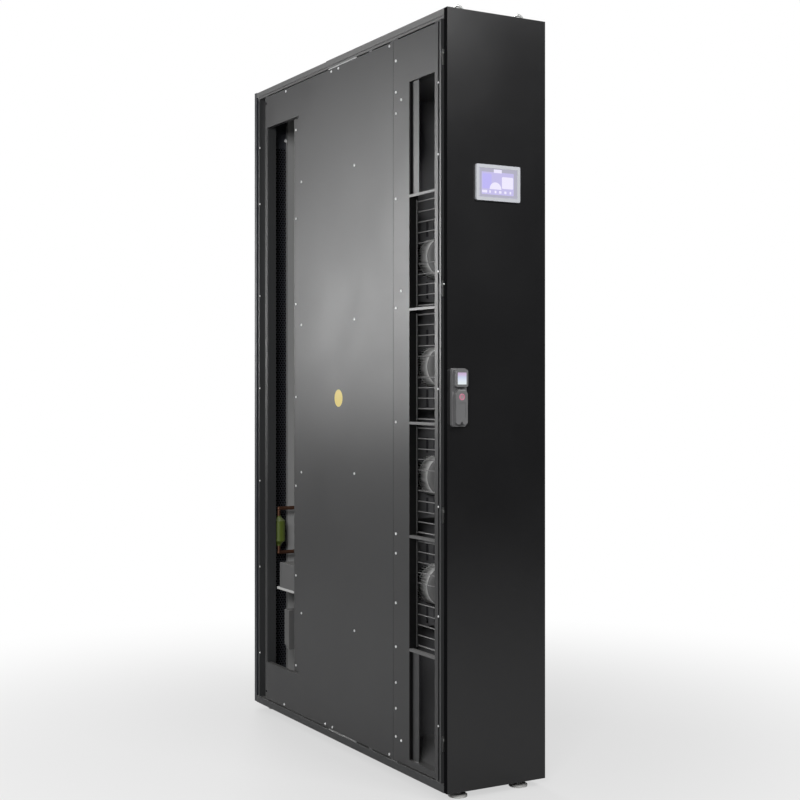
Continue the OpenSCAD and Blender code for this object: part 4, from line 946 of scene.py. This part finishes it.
hole = sums(punched, "MULTIPLY", in_field, open_part.outputs["Result"])
tinted(punched, stiff, (0.3, 0.3, 0.3))
# The holes are painted near black, without sheen: painted shade of the dark inside seen through
# them.
tinted(punched, hole, hole_shade)
rear_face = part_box("rear_door")[1].y
skin_depth = 0.0004
# The skin behind the punched sheet is painted near black as well: painted shade seen through its
# holes.
behind_sheet = sums(punched, "GREATER_THAN", deep, rear_face - skin_depth)
behind_sheet = sums(punched, "MULTIPLY", in_field, behind_sheet)
tinted(punched, behind_sheet, hole_shade)
shine = sums(punched, "SUBTRACT", 1.0, sums(punched, "MAXIMUM", hole, behind_sheet))
punched_sheen = punched_nodes["Principled BSDF"].inputs["Specular IOR Level"]
punched_links.new(sums(punched, "MULTIPLY", shine, 0.5), punched_sheen)
softened("rear_door", punched, width=0.0005)

row_step = hole_pitch * math.sqrt(3)
sheet_t, merge_reach = 0.0006, 0.00005
deselect()
bpy.ops.mesh.primitive_circle_add(vertices=6, radius=hole_pitch / math.sqrt(3), fill_type="NGON",
                                  location=(-field_half, rear_face, field_low),
                                  rotation=(math.radians(90), 0, 0))
sheet = seated()
bpy.ops.object.mode_set(mode="EDIT")
bpy.ops.mesh.select_all(action="SELECT")
bpy.ops.mesh.duplicate_move(TRANSFORM_OT_translate={"value": (hole_pitch / 2, 0, row_step / 2)})
bpy.ops.mesh.select_all(action="SELECT")
bpy.ops.mesh.inset(thickness=hole_pitch / 2 - hole_radius, use_individual=True)
bpy.ops.mesh.delete(type="FACE")
bpy.ops.object.mode_set(mode="OBJECT")
sheet_runs = (((hole_pitch, 0, 0), 2 * field_half), ((0, 0, row_step), field_high - field_low))
for step, length in sheet_runs:
    bpy.ops.object.modifier_add(type="ARRAY")
    repeat = sheet.modifiers["Array"]
    repeat.count = math.ceil(length / max(step)) + 1
    repeat.use_relative_offset = False
    repeat.use_constant_offset = True
    repeat.constant_offset_displace = step
    repeat.use_merge_vertices = True
    repeat.merge_threshold = merge_reach
    bpy.ops.object.modifier_apply(modifier="Array")
bpy.ops.object.mode_set(mode="EDIT")
for edge, way in (((-field_half, 0, 0), (-1, 0, 0)), ((field_half, 0, 0), (1, 0, 0)),
                  ((0, 0, field_low), (0, 0, -1)), ((0, 0, field_high), (0, 0, 1))):
    bpy.ops.mesh.select_all(action="SELECT")
    bpy.ops.mesh.bisect(plane_co=edge, plane_no=way, clear_outer=True)
bpy.ops.mesh.select_all(action="SELECT")
bpy.ops.mesh.remove_doubles(threshold=merge_reach)
bpy.ops.mesh.extrude_region_move(TRANSFORM_OT_translate={"value": (0, sheet_t, 0)})
bpy.ops.mesh.select_all(action="SELECT")
bpy.ops.mesh.normals_make_consistent(inside=False)
bpy.ops.object.mode_set(mode="OBJECT")
sheet_coat = coated("sheet_coat", (0.03, 0.032, 0.038), gloss=0.35, drift=0.2, dust=0.05)
joined([sheet], "rear_door_holes", sheet_coat, "rear_door_leaf")
door_screw_y = rear_face - 0.0018
door_screw_spots = ((-0.089, 1.874), (-0.040, 1.855), (0.089, 1.874), (0.040, 1.855))
door_screws = [screw_head((x, door_screw_y, z), 1, radius=0.0052, height=0.002, axis="Y")
               for x, z in door_screw_spots]
joined(door_screws, "rear_door_screws", screw_zinc, "rear_door_leaf")
